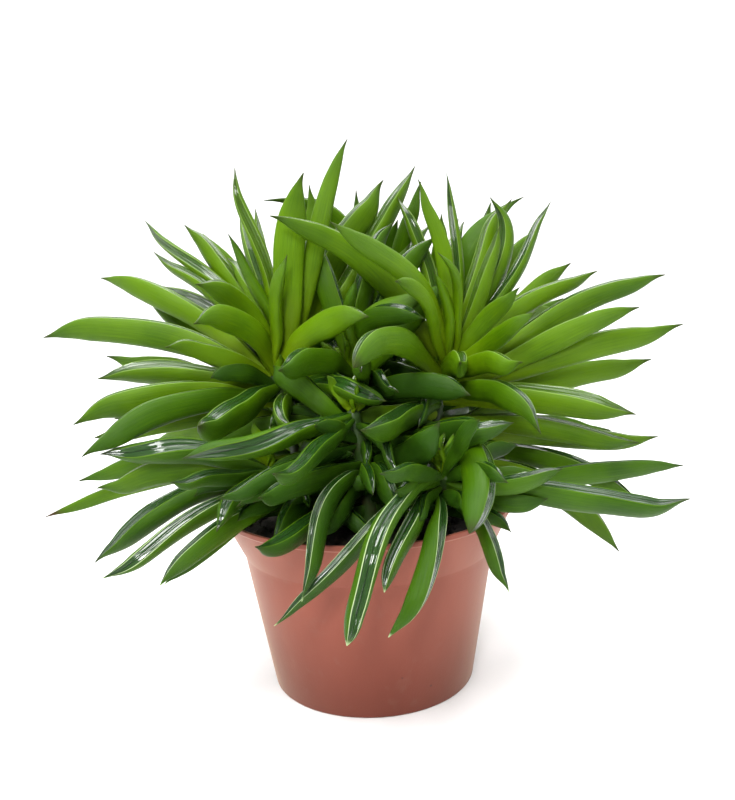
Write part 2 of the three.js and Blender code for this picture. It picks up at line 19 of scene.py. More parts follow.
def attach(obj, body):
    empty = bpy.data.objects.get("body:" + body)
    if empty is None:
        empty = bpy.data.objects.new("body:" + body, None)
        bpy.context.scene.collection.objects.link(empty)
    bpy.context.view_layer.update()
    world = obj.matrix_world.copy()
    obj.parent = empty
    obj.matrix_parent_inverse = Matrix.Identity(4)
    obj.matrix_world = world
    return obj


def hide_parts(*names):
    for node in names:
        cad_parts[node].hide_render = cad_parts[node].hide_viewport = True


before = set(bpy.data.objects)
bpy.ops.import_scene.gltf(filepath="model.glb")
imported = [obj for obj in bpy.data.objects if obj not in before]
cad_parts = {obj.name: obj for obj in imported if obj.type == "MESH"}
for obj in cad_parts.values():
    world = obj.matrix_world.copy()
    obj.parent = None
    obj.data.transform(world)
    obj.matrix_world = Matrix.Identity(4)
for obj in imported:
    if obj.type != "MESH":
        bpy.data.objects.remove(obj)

Array = np.ndarray
Socket = bpy.types.NodeSocket
Span = tuple[float, float]
Triple = tuple[float, float, float]
Colour = Triple
Row = tuple[float, ...]

LOG = logging.getLogger("peperomia")
MM = 0.001
LEAF_RUN = "leaf_run"
LEAF_KIND = "leaf_kind"


class Slot(Enum):
    """The record's material slots."""

    POT = "pot"
    SOIL = "soil"
    LEAF = "leaf"


@dataclass(frozen=True)
class Stalk:
    """A leafy stem: where it stands in the soil, where its crown is, and how much painted shade darkens
    its leaves.
    """

    foot: Span
    crown: Triple
    shade: float = 0.0


@dataclass(frozen=True)
class Fan:
    """Leaves out of sight, spread round a stem by the golden angle; angles in degrees."""

    stem: str
    count: int
    facing: float
    spread: float
    rise: Span
    length: Span


# The third number of a stem, where given, is its painted shade, which darkens its leaves; it is largest
# on the stems in the middle and front of the plant.
STEMS = {
    "stem_left": Stalk((-26, 6), (-34, -5, 128)),
    "stem_right": Stalk((24, 6), (35, 0, 125)),
    "stem_front": Stalk((1, -25), (-4, -31, 117), 0.42),
    "stem_front_right": Stalk((27, -26), (28, -40, 94), 0.34),
    "stem_front_left": Stalk((-27, -23), (-36, -30, 97), 0.26),
    "stem_centre": Stalk((-1, -6), (-3, -8, 128), 0.38),
    "stem_back_left": Stalk((-24, 32), (-32, 40, 122), 0.2),
    "stem_back": Stalk((2, 36), (5, 48, 122), 0.25),
    "stem_back_right": Stalk((27, 32), (40, 40, 116), 0.2),
}

# Leaves seen from the front. Each row: how far up its stem the leaf grows, its tip x, y, z, its bow
# at one third and two thirds, its sway and its depth, and in some rows how far open it lies, how
# blunt its tip is and its turn in degrees.
LEAVES: dict[str, list[Row]] = {
    "stem_left": [
        (0.92, -125, 0, 147, 7, 8, 0, 12),
        (0.8, -94, 25, 147, 3, 3, 0, 9),
        (0.97, -73, -22, 144, 2, 2, 0, 8),
        (0.95, -107, 25, 168, 4, 6, 0, 10),
        (0.9, -87, 50, 161, 4, 4, 0, 10, 1, 0, -50),
        (1, -59, -27, 167, 6, 7, 0, 10),
        (0.98, -59, -40, 154, 7, 8, 0, 11),
        (1, -89, 38, 191, 9, 2, 0, 7, 1, 0, -60),
        (0.98, -83, 28, 179, 7, 2, 0, 7, 1, 0, -60),
        (1, -41, -4, 209, 7, 1, 0, 7, 1, 0, -50),
        (1, -47, -5, 186, 7, 2, 0, 6, 1, 0, -60),
        (0.97, -53, 14, 174, 5, 7, 0, 8, 1, 0, -40),
        (1, 1, 5, 216, -5, 3, 0, 8),
        (1, -22, -8, 203, -3, 6, 0, 13),
        (0.84, -102, -12, 132, 4, 3, 0, 11, 1, 0, -40),
        (0.78, -108, -28, 117, 6, 6, 0, 12),
        (0.84, -100, -47, 108, 5, 6, 0, 11),
        (0.7, -107, -8, 107, 4, 3, 0, 10),
        (0.94, -55, -60, 121, -1, -2, 0, 13, 1, 0.6, -20),
        (1, 4, -45, 153, 2, 1, 0, 11),
        (0.86, 8, -52, 124, 2, 2, 0, 10, 1, 0, 50),
        (0.5, -117, -2, 88, 4, 3, 0, 9),
        (0.42, -134, 4, 72, 3, 3, 0, 7),
        (1, -26, -22, 176, 1, 2, 0, 9),
        (1, -14, 14, 186, 0, 2, 0, 10),
        (1, 13, 15, 201, -1, 4, 0, 13),
        (0.98, 22, 22, 212, -2, -2, 0, 10, 1, 0, 30),
    ],
    "stem_right": [
        (0.95, -3, -62, 138, 2, 11, 0, 11, 1.1, 0.8),
        (1, 12, -46, 166, 0, 9, 0, 8),
        (1, -29, -25, 186, 6, 9, 0, 10),
        (1, -11, -45, 188, 10, 6, 0, 10),
        (1, 25, 0, 202, 2, 5, 0, 7),
        (1, 37, 12, 204, 0, 0, -5, 7),
        (1, 55, 8, 194, -3, -12, 0, 9, 1, 0, 40),
        (0.98, 57, 0, 183, -1, 0, 0, 7, 1, 0, 50),
        (1, 80, 15, 191, 0, -2, 0, 6, 1, 0, 50),
        (0.96, 96, 6, 163, 6, 4, 0, 8),
        (0.92, 121, 0, 161, 0, 6, 0, 10),
        (0.9, 107, -14, 150, -2, 3, 0, 10),
        (0.85, 126, -8, 142, 1, 2, 0, 11),
        (0.75, 122, 18, 125, 1, 1, 0, 11),
        (0.98, 61, -18, 160, 2, 2, 0, 8),
        (0.96, 64, -32, 152, 2, 0, 0, 8),
        (0.93, 56, -48, 136, 3, 2, 0, 9),
        (1, 30, -20, 175, 2, 2, 5, 7),
        (0.9, 60, -60, 113, 2, 9, 0, 10, 1.1),
        (0.8, 103, -24, 110, 3, 3, 0, 13, 1, 0, 30),
        (0.66, 107, -16, 97, 2, 1, 0, 10, 1, 0, 30),
        (0.62, 123, 12, 88, -2, -3, 0, 10),
        (0.85, 87, 40, 144, 12, 13, 0, 12),
        (0.9, 72, 38, 150, 5, 5, 0, 11),
        (0.78, 3, -78, 120, 1, -2, 0, 11, 1, 0, -30),
        (1, 18, 12, 197, 2, 2, 0, 8, 1, 0, -40),
        (0.55, 30, -80, 87, 5, 6, 9, 13, 1.2, 0.5, -60),
        (0.98, 27, -12, 168, 0, 1, 2, 8),
    ],
    "stem_front": [
        (1, -60, -70, 113, -1, 0, 0, 10, 1.4, 0, -90),
        (0.97, -29, -88, 111, -2, -3, 0, 9, 1.2, 0, -30),
        (0.75, -48, -80, 101, 0, 1, 0, 7),
        (0.6, -36, -76, 100, 0, 0, 0, 9),
        (0.4, -35, -86, 82, -2, -5, 0, 9, 1.2, 0, -50),
        (0.5, -22, -78, 63, 10, 9, 0, 9),
        (0.6, 26, -60, 118, -3, -4, 0, 12),
        (0.45, 10, -64, 86, 3, 3, 0, 10),
        (0.4, -16, -62, 82, 4, 3, 0, 10),
        (0.5, -45, -62, 92, 3, 4, 0, 9),
    ],
    "stem_front_right": [
        (0.8, 4, -80, 65, 3, 3, 0, 9, 1.2, 0.5),
        (0.7, 5, -78, 50, 6, 6, 9, 8, 1.1, 0.3, -100),
        (0.6, 45, -66, 59, 4, 3, 0, 8),
        (1, 4, -82, 109, 1, 2, 0, 7),
        (0.97, 54, -48, 112, 2, 1, 0, 8, 1, 0, 60),
        (0.95, 70, -46, 97, 2, 1, 0, 8, 1, 0, 20),
        (0.9, 66, -40, 92, 2, 2, 0, 8),
        (0.7, 66, -42, 85, 3, -2, 0, 8),
        (1, 38, -68, 121, 1, 1, 0, 7),
        (0.9, 8, -70, 96, 1, 2, 0, 7),
        (0.85, 120, -38, 80, 1, -2, 0, 11, 1, 0, 50),
        (0.7, 130, 0, 83, 0, 1, 0, 9),
        (1, -10, -86, 52, 14, 6, 0, 8, 1.7, 1, -40),
        (0.5, -33, -80, 57, 12, 0, 6, 8),
    ],
    "stem_front_left": [
        (1, -67, -60, 103, -1, -1, 0, 7, 1, 0, -60),
        (0.9, -100, -44, 68, 5, 6, 0, 10, 1, 0, -50),
        (0.85, -95, -56, 67, 2, 0, 0, 9, 1, 0, -50),
        (0.6, -72, -68, 66, -1, 4, 0, 9),
        (0.6, -67, -60, 60, 0, 0, 0, 7),
        (0.9, -52, -66, 86, 3, 3, 0, 9, 1, 0, -40),
        (1, -96, -40, 109, 2, 4, 0, 11, 1, 0, -70),
        (1, -102, -28, 92, 3, 3, 0, 10),
    ],
    "stem_centre": [
        (0.98, -29, -52, 136, 3, 2, 0, 11),
        (1, 23, -34, 151, 12, 6, 0, 9, 1, 0, 30),
        (1, 28, -10, 160, 11, 3, 0, 9),
        (1, 32, 5, 179, 3, 3, 0, 10),
        (1, -18, 8, 180, 0, 0, 0, 10),
        (1, 2, -18, 166, 0, 2, 0, 9),
        (0.8, 38, -36, 118, 2, 2, 0, 11),
    ],
    "stem_back_left": [
        (1, -42, 25, 182, 0, 2, 0, 8),
        (1, -21, 30, 202, 0, 2, 0, 9),
    ],
    "stem_back": [
        (1, 1, 35, 200, 0, 2, 0, 9),
        (1, -38, 35, 197, 0, 28, 0, 10),
        (1, 28, 30, 202, 0, 2, 0, 9),
        (1, 18, 38, 186, 0, 2, 0, 11),
    ],
    "stem_back_right": [
        (1, 70, 38, 195, 2, 16, 0, 10),
        (1, 46, 45, 186, 0, 2, 0, 8),
        (1, 41, 36, 187, 0, 2, 0, 9),
        (0.9, 54, 44, 160, 1, 3, 0, 11),
    ],
}

FANS = [
    Fan("stem_left", 8, 130, 100, (-22, 74), (88, 78)),
    Fan("stem_left", 4, -50, 120, (-20, 25), (50, 42)),
    Fan("stem_right", 8, 50, 100, (-22, 74), (88, 78)),
    Fan("stem_right", 4, -120, 100, (-20, 25), (48, 42)),
    Fan("stem_left", 3, 25, 70, (0, 45), (48, 44)),
    Fan("stem_right", 3, 165, 70, (0, 40), (46, 42)),
    Fan("stem_front", 4, 115, 150, (-5, 20), (44, 40)),
    Fan("stem_centre", 8, 60, 360, (-15, 40), (62, 52)),
    Fan("stem_centre", 6, 90, 150, (30, 72), (74, 70)),
    Fan("stem_back", 4, -80, 130, (35, 68), (64, 68)),
    Fan("stem_back_left", 13, 128, 150, (-22, 74), (88, 78)),
    Fan("stem_back", 13, 92, 150, (-22, 74), (88, 78)),
    Fan("stem_back_right", 13, 46, 150, (-10, 74), (88, 78)),
]


def unit(vectors: Array) -> Array:
    """Scales vectors to length one: v / |v|.

    Args:
        vectors: Vectors along the last axis.

    Returns:
        The same directions, of length one; a zero vector stays zero.
    """
    length = np.linalg.norm(vectors, axis=-1, keepdims=True)
    return vectors / np.where(length > 0, length, 1)


def eased(value: Array, low: float, high: float) -> Array:
    """Smooth step: s = (value - low) / (high - low) kept in 0..1, then 3 s² - 2 s³."""
    s = np.clip((value - low) / (high - low), 0, 1)
    return s * s * (3 - 2 * s)


def monotone(at: Array, knots: Array, values: Array) -> Array:
    """Monotone cubic curve through knots, with each knot's slope the harmonic mean of its neighbours.

    Args:
        at: Places to read the curve at.
        knots: Increasing places of the known values.
        values: Known values.

    Returns:
        h00 y0 + h10 d m0 + h01 y1 + h11 d m1 in each span of width d.
    """
    width = np.diff(knots)
    grade = np.diff(values) / width
    same = grade[1:] * grade[:-1] > 0
    mean = 2 * grade[1:] * grade[:-1] / np.where(same, grade[1:] + grade[:-1], 1)
    slope = np.concatenate([grade[:1], np.where(same, mean, 0), grade[-1:]])
    span = np.clip(np.searchsorted(knots, at, side="right") - 1, 0, len(width) - 1)
    s = (at - knots[span]) / width[span]
    start = (2 * s**3 - 3 * s**2 + 1) * values[span] + (3 * s**2 - 2 * s**3) * values[span + 1]
    lean = (s**3 - 2 * s**2 + s) * slope[span] + (s**3 - s**2) * slope[span + 1]
    return start + lean * width[span]


def bernstein(t: Array) -> Array:
    """Cubic Bezier weights (1-t)³, 3(1-t)²t, 3(1-t)t², t³ along a new last axis."""
    u = 1 - t
    return np.stack([u * u * u, 3 * u * u * t, 3 * u * t * t, t * t * t], axis=-1)


def bernstein_slope(t: Array) -> Array:
    """Slopes of the cubic Bezier weights along a new last axis."""
    u = 1 - t
    return np.stack([-3 * u * u, 3 * u * u - 6 * u * t, 6 * u * t - 3 * t * t, 3 * t * t], axis=-1)


def stem_point(stems: Array, up: Array) -> Array:
    """Places on the stems: foot + (crown - foot) · up² across, and soil to crown · up in height.

    Args:
        stems: Index of each place's stem.
        up: How far up the stem each place is, from the soil at 0 to the crown at 1.

    Returns:
        Points in mm.
    """
    foot = np.array([stalk.foot for stalk in STEMS.values()], float)[stems]
    crown = np.array([stalk.crown for stalk in STEMS.values()], float)[stems]
    across = foot + (crown[..., :2] - foot) * (up * up)[..., None]
    height = SoilBed.LEVEL + (crown[..., 2] - SoilBed.LEVEL) * up
    return np.concatenate([across, height[..., None]], axis=-1)


def carried_frames(points: Array, steps: Array, turn: Array) -> tuple[Array, Array, Array, Array]:
    """Frames along cubic Bezier leaves, carried from the root and then turned about the leaf.

    The centre is the sum of the Bernstein weights times the four points. The window's direction
    starts as straight up plus 0.3 towards the stem, and at each step loses its part along the
    leaf and is made of length one again. The turn grows evenly from the root to the tip.

    Args:
        points: Four points of each leaf, shaped (leaves, 4, 3).
        steps: Places along the leaf, from 0 at the root to 1 at the tip.
        turn: Turn of each leaf at its tip, in degrees.

    Returns:
        Centres, directions along, directions up to the window and directions to the side, each
        shaped (leaves, steps, 3).
    """
    centre = np.einsum("mk,nkc->nmc", bernstein(steps), points)
    along = unit(np.einsum("mk,nkc->nmc", bernstein_slope(steps), points))
    inward = points[:, 0] - points[:, 3]
    inward[:, 2] = 0
    up = np.array([0.0, 0.0, 1.0]) + LeafRules.LEAN_IN * unit(inward)
    ups = np.empty_like(centre)
    for m in range(len(steps)):
        ahead = along[:, m]
        up = unit(up - ahead * np.sum(up * ahead, axis=1, keepdims=True))
        ups[:, m] = up
    sides = np.cross(along, ups)
    angle = np.radians(turn[:, None] * steps)[..., None]
    ups = ups * np.cos(angle) + sides * np.sin(angle)
    return centre, along, ups, np.cross(along, ups)


@dataclass
class Foliage:
    """Every leaf of the plant, one entry a leaf: its stem, its four curve points in mm and its form."""

    stem: Array
    points: Array
    depth: Array
    opened: Array
    blunt: Array
    turn: Array
    seen: Array
    level: Array

    def picked(self, keep: Array) -> "Foliage":
        """The leaves that the mask or index keeps."""
        return Foliage(*(getattr(self, part.name)[keep] for part in fields(self)))


class LeafRules:
    """How a table row becomes a leaf's curve, as in the part's source."""

    LEAN_IN = 0.3
    FIRST = 0.33
    SECOND = 0.68
    BOW = 1.9
    SWAY = 1.6
    STEEP = 0.35
    FAN_START = 0.24
    FAN_BOW = 7.0
    FAN_BOW_LOSS = 0.7
    FAN_DEPTH = (10.0, 11.0)
    FAN_LIFT = 10.0
    FAN_LENGTH = 8.0
    GOLDEN = 0.618034
    GIVEN = 8
    USUAL = (1.0, 0.0, 0.0)
    SEED_STEP = 977
    DRAWS_A_LEAF = 3
    FACTOR = 1103515245.0
    ADDEND = 12345.0
    MODULUS = 2.0**31

    @classmethod
    def draws(cls, seed: int, count: int) -> list[float]:
        """Random numbers from 0 to 1: state = (state · factor + addend) mod 2³¹, over 2³¹.

        Args:
            seed: The state to start from.
            count: How many numbers to draw.

        Returns:
            The numbers in the order drawn.
        """
        state, made = float(seed), []
        for _ in range(count):
            state = math.fmod(state * cls.FACTOR + cls.ADDEND, cls.MODULUS)
            made.append(state / cls.MODULUS)
        return made

    @classmethod
    def fan_rows(cls, fan: Fan) -> Array:
        """Rows of a fan of leaves out of sight.

        The bearing is facing + spread · (fraction of i · golden - 0.5), and the lift and length run
        from the low leaves' values to the high leaves' with a seeded draw on top.

        Args:
            fan: The fan to spread.

        Returns:
            Rows of up, tip x, y, z, bow, bow, sway, depth, open, blunt, turn.
        """
        count = fan.count
        drawn = cls.draws(count * cls.SEED_STEP + int(fan.facing), cls.DRAWS_A_LEAF * count)
        draw = np.array(drawn).reshape(count, cls.DRAWS_A_LEAF)
        number = np.arange(count)
        level = (number + 0.5) / count
        up = cls.FAN_START + (1 - cls.FAN_START) * level
        bearing = np.radians(fan.facing + fan.spread * ((number * cls.GOLDEN) % 1 - 0.5))
        low, high = fan.rise
        rise = np.radians(low + (high - low) * level + cls.FAN_LIFT * (draw[:, 0] - 0.5))
        long, short = fan.length
        length = long + (short - long) * level + cls.FAN_LENGTH * (draw[:, 1] - 0.5)
        thin, thick = cls.FAN_DEPTH
        depth = thin + (thick - thin) * draw[:, 2]
        stem = np.full(count, list(STEMS).index(fan.stem))
        flat = np.cos(rise)
        reach = np.stack([flat * np.cos(bearing), flat * np.sin(bearing), np.sin(rise)], axis=1)
        tip = stem_point(stem, up) + reach * length[:, None]
        bow = cls.FAN_BOW * (1 - cls.FAN_BOW_LOSS * level)
        none = 0 * bow
        rest = np.stack([bow, bow, none, depth, none + 1, none, none], axis=1)
        return np.concatenate([up[:, None], tip, rest], axis=1)

    @classmethod
    def curves(cls, stem: Array, rows: Array) -> Array:
        """Four Bezier points of each leaf.

        The root is on the stem and the last point is the tip. The two between lie at 0.33 and 0.68
        of the chord, lifted by the bows square to it and swayed to its side. A steep leaf bows away
        from its reach instead of up.

        Args:
            stem: Stem index of each row.
            rows: Table rows of up, tip x, y, z, bow, bow, sway, depth, open, blunt, turn.

        Returns:
            Points shaped (leaves, 4, 3).
        """
        root = stem_point(stem, rows[:, 0])
        tip = rows[:, 1:4]
        chord = tip - root
        out = chord * [1, 1, 0]
        side = unit(np.stack([-chord[:, 1], chord[:, 0], 0 * chord[:, 0]], axis=1))
        long = np.sum(chord * chord, axis=1)
        rise = np.array([0, 0, 1]) - chord * (chord[:, 2] / long)[:, None]
        steep = np.linalg.norm(out, axis=1) < cls.STEEP * np.sqrt(long)
        rise = unit(np.where(steep[:, None], -out, rise))
        bow1, bow2, sway = rows[:, 4:5], rows[:, 5:6], rows[:, 6:7]
        first = root + cls.FIRST * chord + rise * bow1 * cls.BOW + side * sway
        second = root + cls.SECOND * chord + rise * bow2 * cls.BOW + side * sway * cls.SWAY
        return np.stack([root, first, second, tip], axis=1)

    @classmethod
    def grow(cls) -> Foliage:
        """Grows all leaves before easing: the table's leaves stem by stem, then the fans.

        Returns:
            The leaves, those of the table marked as seen.
        """
        rows, stems, seen = [], [], []
        for number, name in enumerate(STEMS):
            for row in LEAVES[name]:
                rows.append([*row, *cls.USUAL[len(row) - cls.GIVEN :]])
                stems.append(number)
                seen.append(True)
        for fan in FANS:
            made = cls.fan_rows(fan).tolist()
            rows.extend(made)
            stems.extend([list(STEMS).index(fan.stem)] * len(made))
            seen.extend([False] * len(made))
        table, stem = np.array(rows, float), np.array(stems)
        points = cls.curves(stem, table)
        return Foliage(stem, points, *table[:, cls.GIVEN - 1 :].T, np.array(seen), table[:, 0])


@dataclass(frozen=True)
class Easing:
    """Eases crossing leaves apart, as the part's source does, with spheres along each leaf."""

    stations: tuple[float, ...] = (0.0, 0.14, 0.36, 0.6, 0.79, 0.92, 1.0)
    depths: tuple[float, ...] = (0.24, 0.46, 0.86, 1.0, 0.8, 0.42, 0.0)
    blunt_depths: tuple[float, ...] = (0.24, 0.5, 0.86, 1.0, 0.95, 0.7, 0.0)
    rows: tuple[float, ...] = (-0.3, 0.0, 0.28)
    samples: int = 3
    rounds: int = 130
    radius: float = 0.26
    shut_wide: float = 0.3
    open_wide: float = 0.7
    smallest: float = 0.5
    clear: float = 1.2
    pot_clear: float = 1.0
    rim_inset: float = 4.0
    free: float = 0.16
    gain: float = 1.6
    stiff: float = 0.006
    touch: float = 0.2
    least_gap: float = 0.01
    seen_share: float = 0.2
    near_root: float = 0.34
    trunk_radius: float = 3.4
    trunk_count: int = 16
    slack: float = 5.0
    searched_at_once: int = 400

    def spheres(self, leaves: Foliage) -> tuple[Array, Array, Array]:
        """Spheres that fill the leaves: three rows from keel to window along straight facets.

        Args:
            leaves: The leaves.

        Returns:
            Centres (leaves, spheres, 3), places along (spheres) and radii (leaves, spheres).
        """
        stations = np.array(self.stations)
        centre, _, up, _ = carried_frames(leaves.points, stations, leaves.turn)
        part = np.arange(1, self.samples + 1) / self.samples
        blunt = leaves.blunt[:, None]
        depths = np.array(self.depths) * (1 - blunt) + np.array(self.blunt_depths) * blunt
        mixed = depths[:, :-1, None] * (1 - part) + depths[:, 1:, None] * part
        t = stations[:-1, None] * (1 - part) + stations[1:, None] * part
        depth = leaves.depth[:, None, None] * mixed
        middle = centre[:, :-1, None] + (centre[:, 1:] - centre[:, :-1])[:, :, None] * part[:, None]
        aim = up[:, :-1, None] + (up[:, 1:] - up[:, :-1])[:, :, None] * part[:, None]
        row = np.array(self.rows)
        at = middle[:, :, :, None] + aim[:, :, :, None] * (row * depth[..., None])[..., None]
        wide = (self.shut_wide + self.open_wide * leaves.opened)[:, None, None]
        radius = np.maximum(self.radius * depth * wide, self.smallest)
        count = len(leaves.depth)
        radius = np.repeat(radius[..., None], len(row), axis=-1).reshape(count, -1)
        places = np.repeat(t[..., None], len(row), axis=-1).reshape(-1)
        return at.reshape(count, -1, 3), places, radius

    def trunks(self) -> tuple[Array, Array]:
        """Spheres along every stem.

        Returns:
            Centres of the spheres and the stem of each.
        """
        up = np.arange(self.trunk_count + 1) / self.trunk_count
        stem = np.repeat(np.arange(len(STEMS)), len(up))
        return stem_point(stem, np.tile(up, len(STEMS))), stem

    @staticmethod
    def add_pushes(total: Array, leaf: Array, t: Array, vector: Array) -> None:
        """Adds each push to its leaf's four points by their Bernstein weights.

        Args:
            total: Sums shaped (leaves, 16): twelve for the points' pushes, four for their weights.
            leaf: The leaf of each push.
            t: Where along its leaf each push acts.
            vector: The pushes in mm.
        """
        share = bernstein(t)
        moved = (share[:, :, None] * vector[:, None]).reshape(-1, 12)
        columns = np.concatenate([moved, share], axis=1)
        for k in range(columns.shape[1]):
            total[:, k] += np.bincount(leaf, weights=columns[:, k], minlength=len(total))

    def candidates(self, leaves: Foliage, at: Array, radius: Array, t: Array) -> tuple[Array, ...]:
        """Sphere pairs of different leaves that could touch before the next search.

        Args:
            leaves: The leaves.
            at: Sphere centres (leaves, spheres, 3).
            radius: Sphere radii (leaves, spheres).
            t: Places of the spheres along their leaves.

        Returns:
            Leaf and sphere of each pair's two ends, and how near they have to be to touch.
        """
        reach = 2 * radius.max() + self.clear + self.slack
        low, high = at.min(axis=1) - reach / 2, at.max(axis=1) + reach / 2
        meets = np.all((low[:, None] <= high[None]) & (low[None] <= high[:, None]), axis=-1)
        first, second = np.nonzero(np.triu(meets, 1))
        found = []
        chunks = max(1, len(first) // self.searched_at_once)
        for chunk in np.array_split(np.arange(len(first)), chunks):
            a, b = first[chunk], second[chunk]
            p, q = at[a], at[b]
            square = np.sum(p * p, axis=2)[:, :, None] + np.sum(q * q, axis=2)[:, None]
            square = square - 2 * p @ q.transpose(0, 2, 1)
            same = leaves.stem[a] == leaves.stem[b]
            clear = np.where(same, 0, self.clear)[:, None, None]
            room = radius[a][:, :, None] + radius[b][:, None] + clear
            near = square < (room + self.slack) ** 2
            rooted = (t[:, None] < self.near_root) | (t[None] < self.near_root)
            near &= ~(same[:, None, None] & rooted)
            pair, i, j = np.nonzero(near)
            found.append((a[pair], i, b[pair], j, room[pair, i, j]))
        return tuple(np.concatenate(column) for column in zip(*found))

    def pot_pushes(self, total: Array, at: Array, radius: Array, t: Array) -> None:
        """Lifts leaves over the rim or out past the wall, whichever is nearer, and out of the soil.

        Args:
            total: Sums of pushes, changed in place.
            at: Sphere centres.
            radius: Sphere radii.
            t: Places of the spheres along their leaves.
        """
        reach = np.hypot(at[..., 0], at[..., 1])
        height = at[..., 2]
        room = radius + self.clear + self.pot_clear
        wall = PotShell.radius_at(np.minimum(height, PotShell.HEIGHT))
        inside = reach <= PotShell.RIM - room - self.rim_inset
        by_rim = (height < PotShell.HEIGHT + room) & ~inside & (reach < wall + room)
        lift, away = PotShell.HEIGHT + room - height, wall + room - reach
        outward = by_rim & (away < lift)
        upward = by_rim & ~outward
        sunk = inside & (height < SoilBed.LEVEL + SoilBed.MOUND + room)
        push = np.zeros_like(at)
        flat = at[..., :2] / reach[..., None]
        push[..., :2] = flat * np.where(outward, away, 0)[..., None]
        soil_lift = SoilBed.LEVEL + SoilBed.MOUND + room - height
        push[..., 2] = np.where(upward, lift, 0) + np.where(sunk, soil_lift, 0)
        leaf, sphere = np.nonzero(outward | upward | sunk)
        self.add_pushes(total, leaf, t[sphere], push[leaf, sphere])

    def trunk_pushes(
        self, total: Array, leaves: Foliage, at: Array, radius: Array, t: Array
    ) -> None:
        """Pushes leaves off the stems that they don't grow from.

        Args:
            total: Sums of pushes, changed in place.
            leaves: The leaves.
            at: Sphere centres.
            radius: Sphere radii.
            t: Places of the spheres along their leaves.
        """
        trunk, trunk_stem = self.trunks()
        flat = at.reshape(-1, 3)
        square = np.sum(flat * flat, axis=1)[:, None] + np.sum(trunk * trunk, axis=1)
        square = square - 2 * flat @ trunk.T
        owner = np.repeat(leaves.stem, at.shape[1])
        room = radius.reshape(-1) + self.trunk_radius + self.clear
        sphere, other = np.nonzero((square < room[:, None] ** 2) & (owner[:, None] != trunk_stem))
        away = flat[sphere] - trunk[other]
        gap = room[sphere] - np.linalg.norm(away, axis=1)
        leaf, place = np.divmod(sphere, at.shape[1])
        self.add_pushes(total, leaf, t[place], unit(away) * gap[:, None])

    def pair_pushes(
        self, total: Array, leaves: Foliage, at: Array, t: Array, pairs: tuple[Array, ...]
    ) -> None:
        """Pushes touching leaves apart; a leaf out of sight gives way to a seen one.

        Args:
            total: Sums of pushes, changed in place.
            leaves: The leaves.
            at: Sphere centres.
            t: Places of the spheres along their leaves.
            pairs: The pairs that candidates found.
        """
        a, i, b, j, room = pairs
        apart = at[a, i] - at[b, j]
        distance = np.linalg.norm(apart, axis=1)
        hit = distance < room
        a, i, b, j, room = a[hit], i[hit], b[hit], j[hit], room[hit]
        apart, distance = apart[hit], distance[hit]
        push = apart * ((room - distance) / np.maximum(distance, self.least_gap))[:, None]
        seen_a, seen_b = leaves.seen[a], leaves.seen[b]
        uneven = np.where(seen_a, self.seen_share, 1 - self.seen_share)
        share = np.where(seen_a == seen_b, 0.5, uneven)[:, None]
        self.add_pushes(total, a, t[i], push * share)
        self.add_pushes(total, b, t[j], -push * (1 - share))

    def ease(self, leaves: Foliage) -> None:
        """Moves the leaves' points round by round until they clear each other, the pot and the soil.

        Args:
            leaves: The leaves, changed in place.
        """
        starts = leaves.points.copy()
        searched, pairs = None, ()
        for _ in range(self.rounds):
            at, t, radius = self.spheres(leaves)
            moved = math.inf if searched is None else np.abs(at - searched).max() * math.sqrt(3)
            if moved > self.slack / 2:
                searched, pairs = at, self.candidates(leaves, at, radius, t)
            total = np.zeros((len(leaves.stem), 16))
            self.pot_pushes(total, at, radius, t)
            self.trunk_pushes(total, leaves, at, radius, t)
            self.pair_pushes(total, leaves, at, t, pairs)
            push, weight = total[:, :12].reshape(-1, 4, 3), total[:, 12:]
            strong = (weight > self.free)[..., None]
            step = np.where(strong, push * (self.gain / np.maximum(weight, self.free))[..., None], 0)
            points = leaves.points
            points[:, 1:] += step[:, 1:]
            points[:, 1:] += (starts[:, 1:] - points[:, 1:]) * self.stiff

    def without_clashes(self, leaves: Foliage) -> Foliage:
        """Leaves out each leaf out of sight that still touches another stem or its leaves.

        Args:
            leaves: The eased leaves.

        Returns:
            The leaves that stay.
        """
        at, _, radius = self.spheres(leaves)
        trunk, trunk_stem = self.trunks()
        count = len(leaves.stem)
        touching = np.zeros((count, count), bool)
        low, high = at.min(axis=1) - radius.max(), at.max(axis=1) + radius.max()
        meets = np.all((low[:, None] <= high[None]) & (low[None] <= high[:, None]), axis=-1)
        meets &= leaves.stem[:, None] != leaves.stem[None]
        for a, b in zip(*np.nonzero(np.triu(meets, 1))):
            apart = np.linalg.norm(at[a][:, None] - at[b][None], axis=-1)
            hit = np.any(apart < radius[a][:, None] + radius[b] - self.touch)
            touching[a, b] = touching[b, a] = hit
        kept: list[int] = []
        for n in range(count):
            others = trunk[trunk_stem != leaves.stem[n]]
            apart = np.linalg.norm(at[n][:, None] - others, axis=-1)
            crossed = np.any(apart < radius[n][:, None] + self.trunk_radius - self.touch)
            if leaves.seen[n] or not (crossed or touching[n, kept].any()):
                kept.append(n)
        return leaves.picked(np.array(kept))


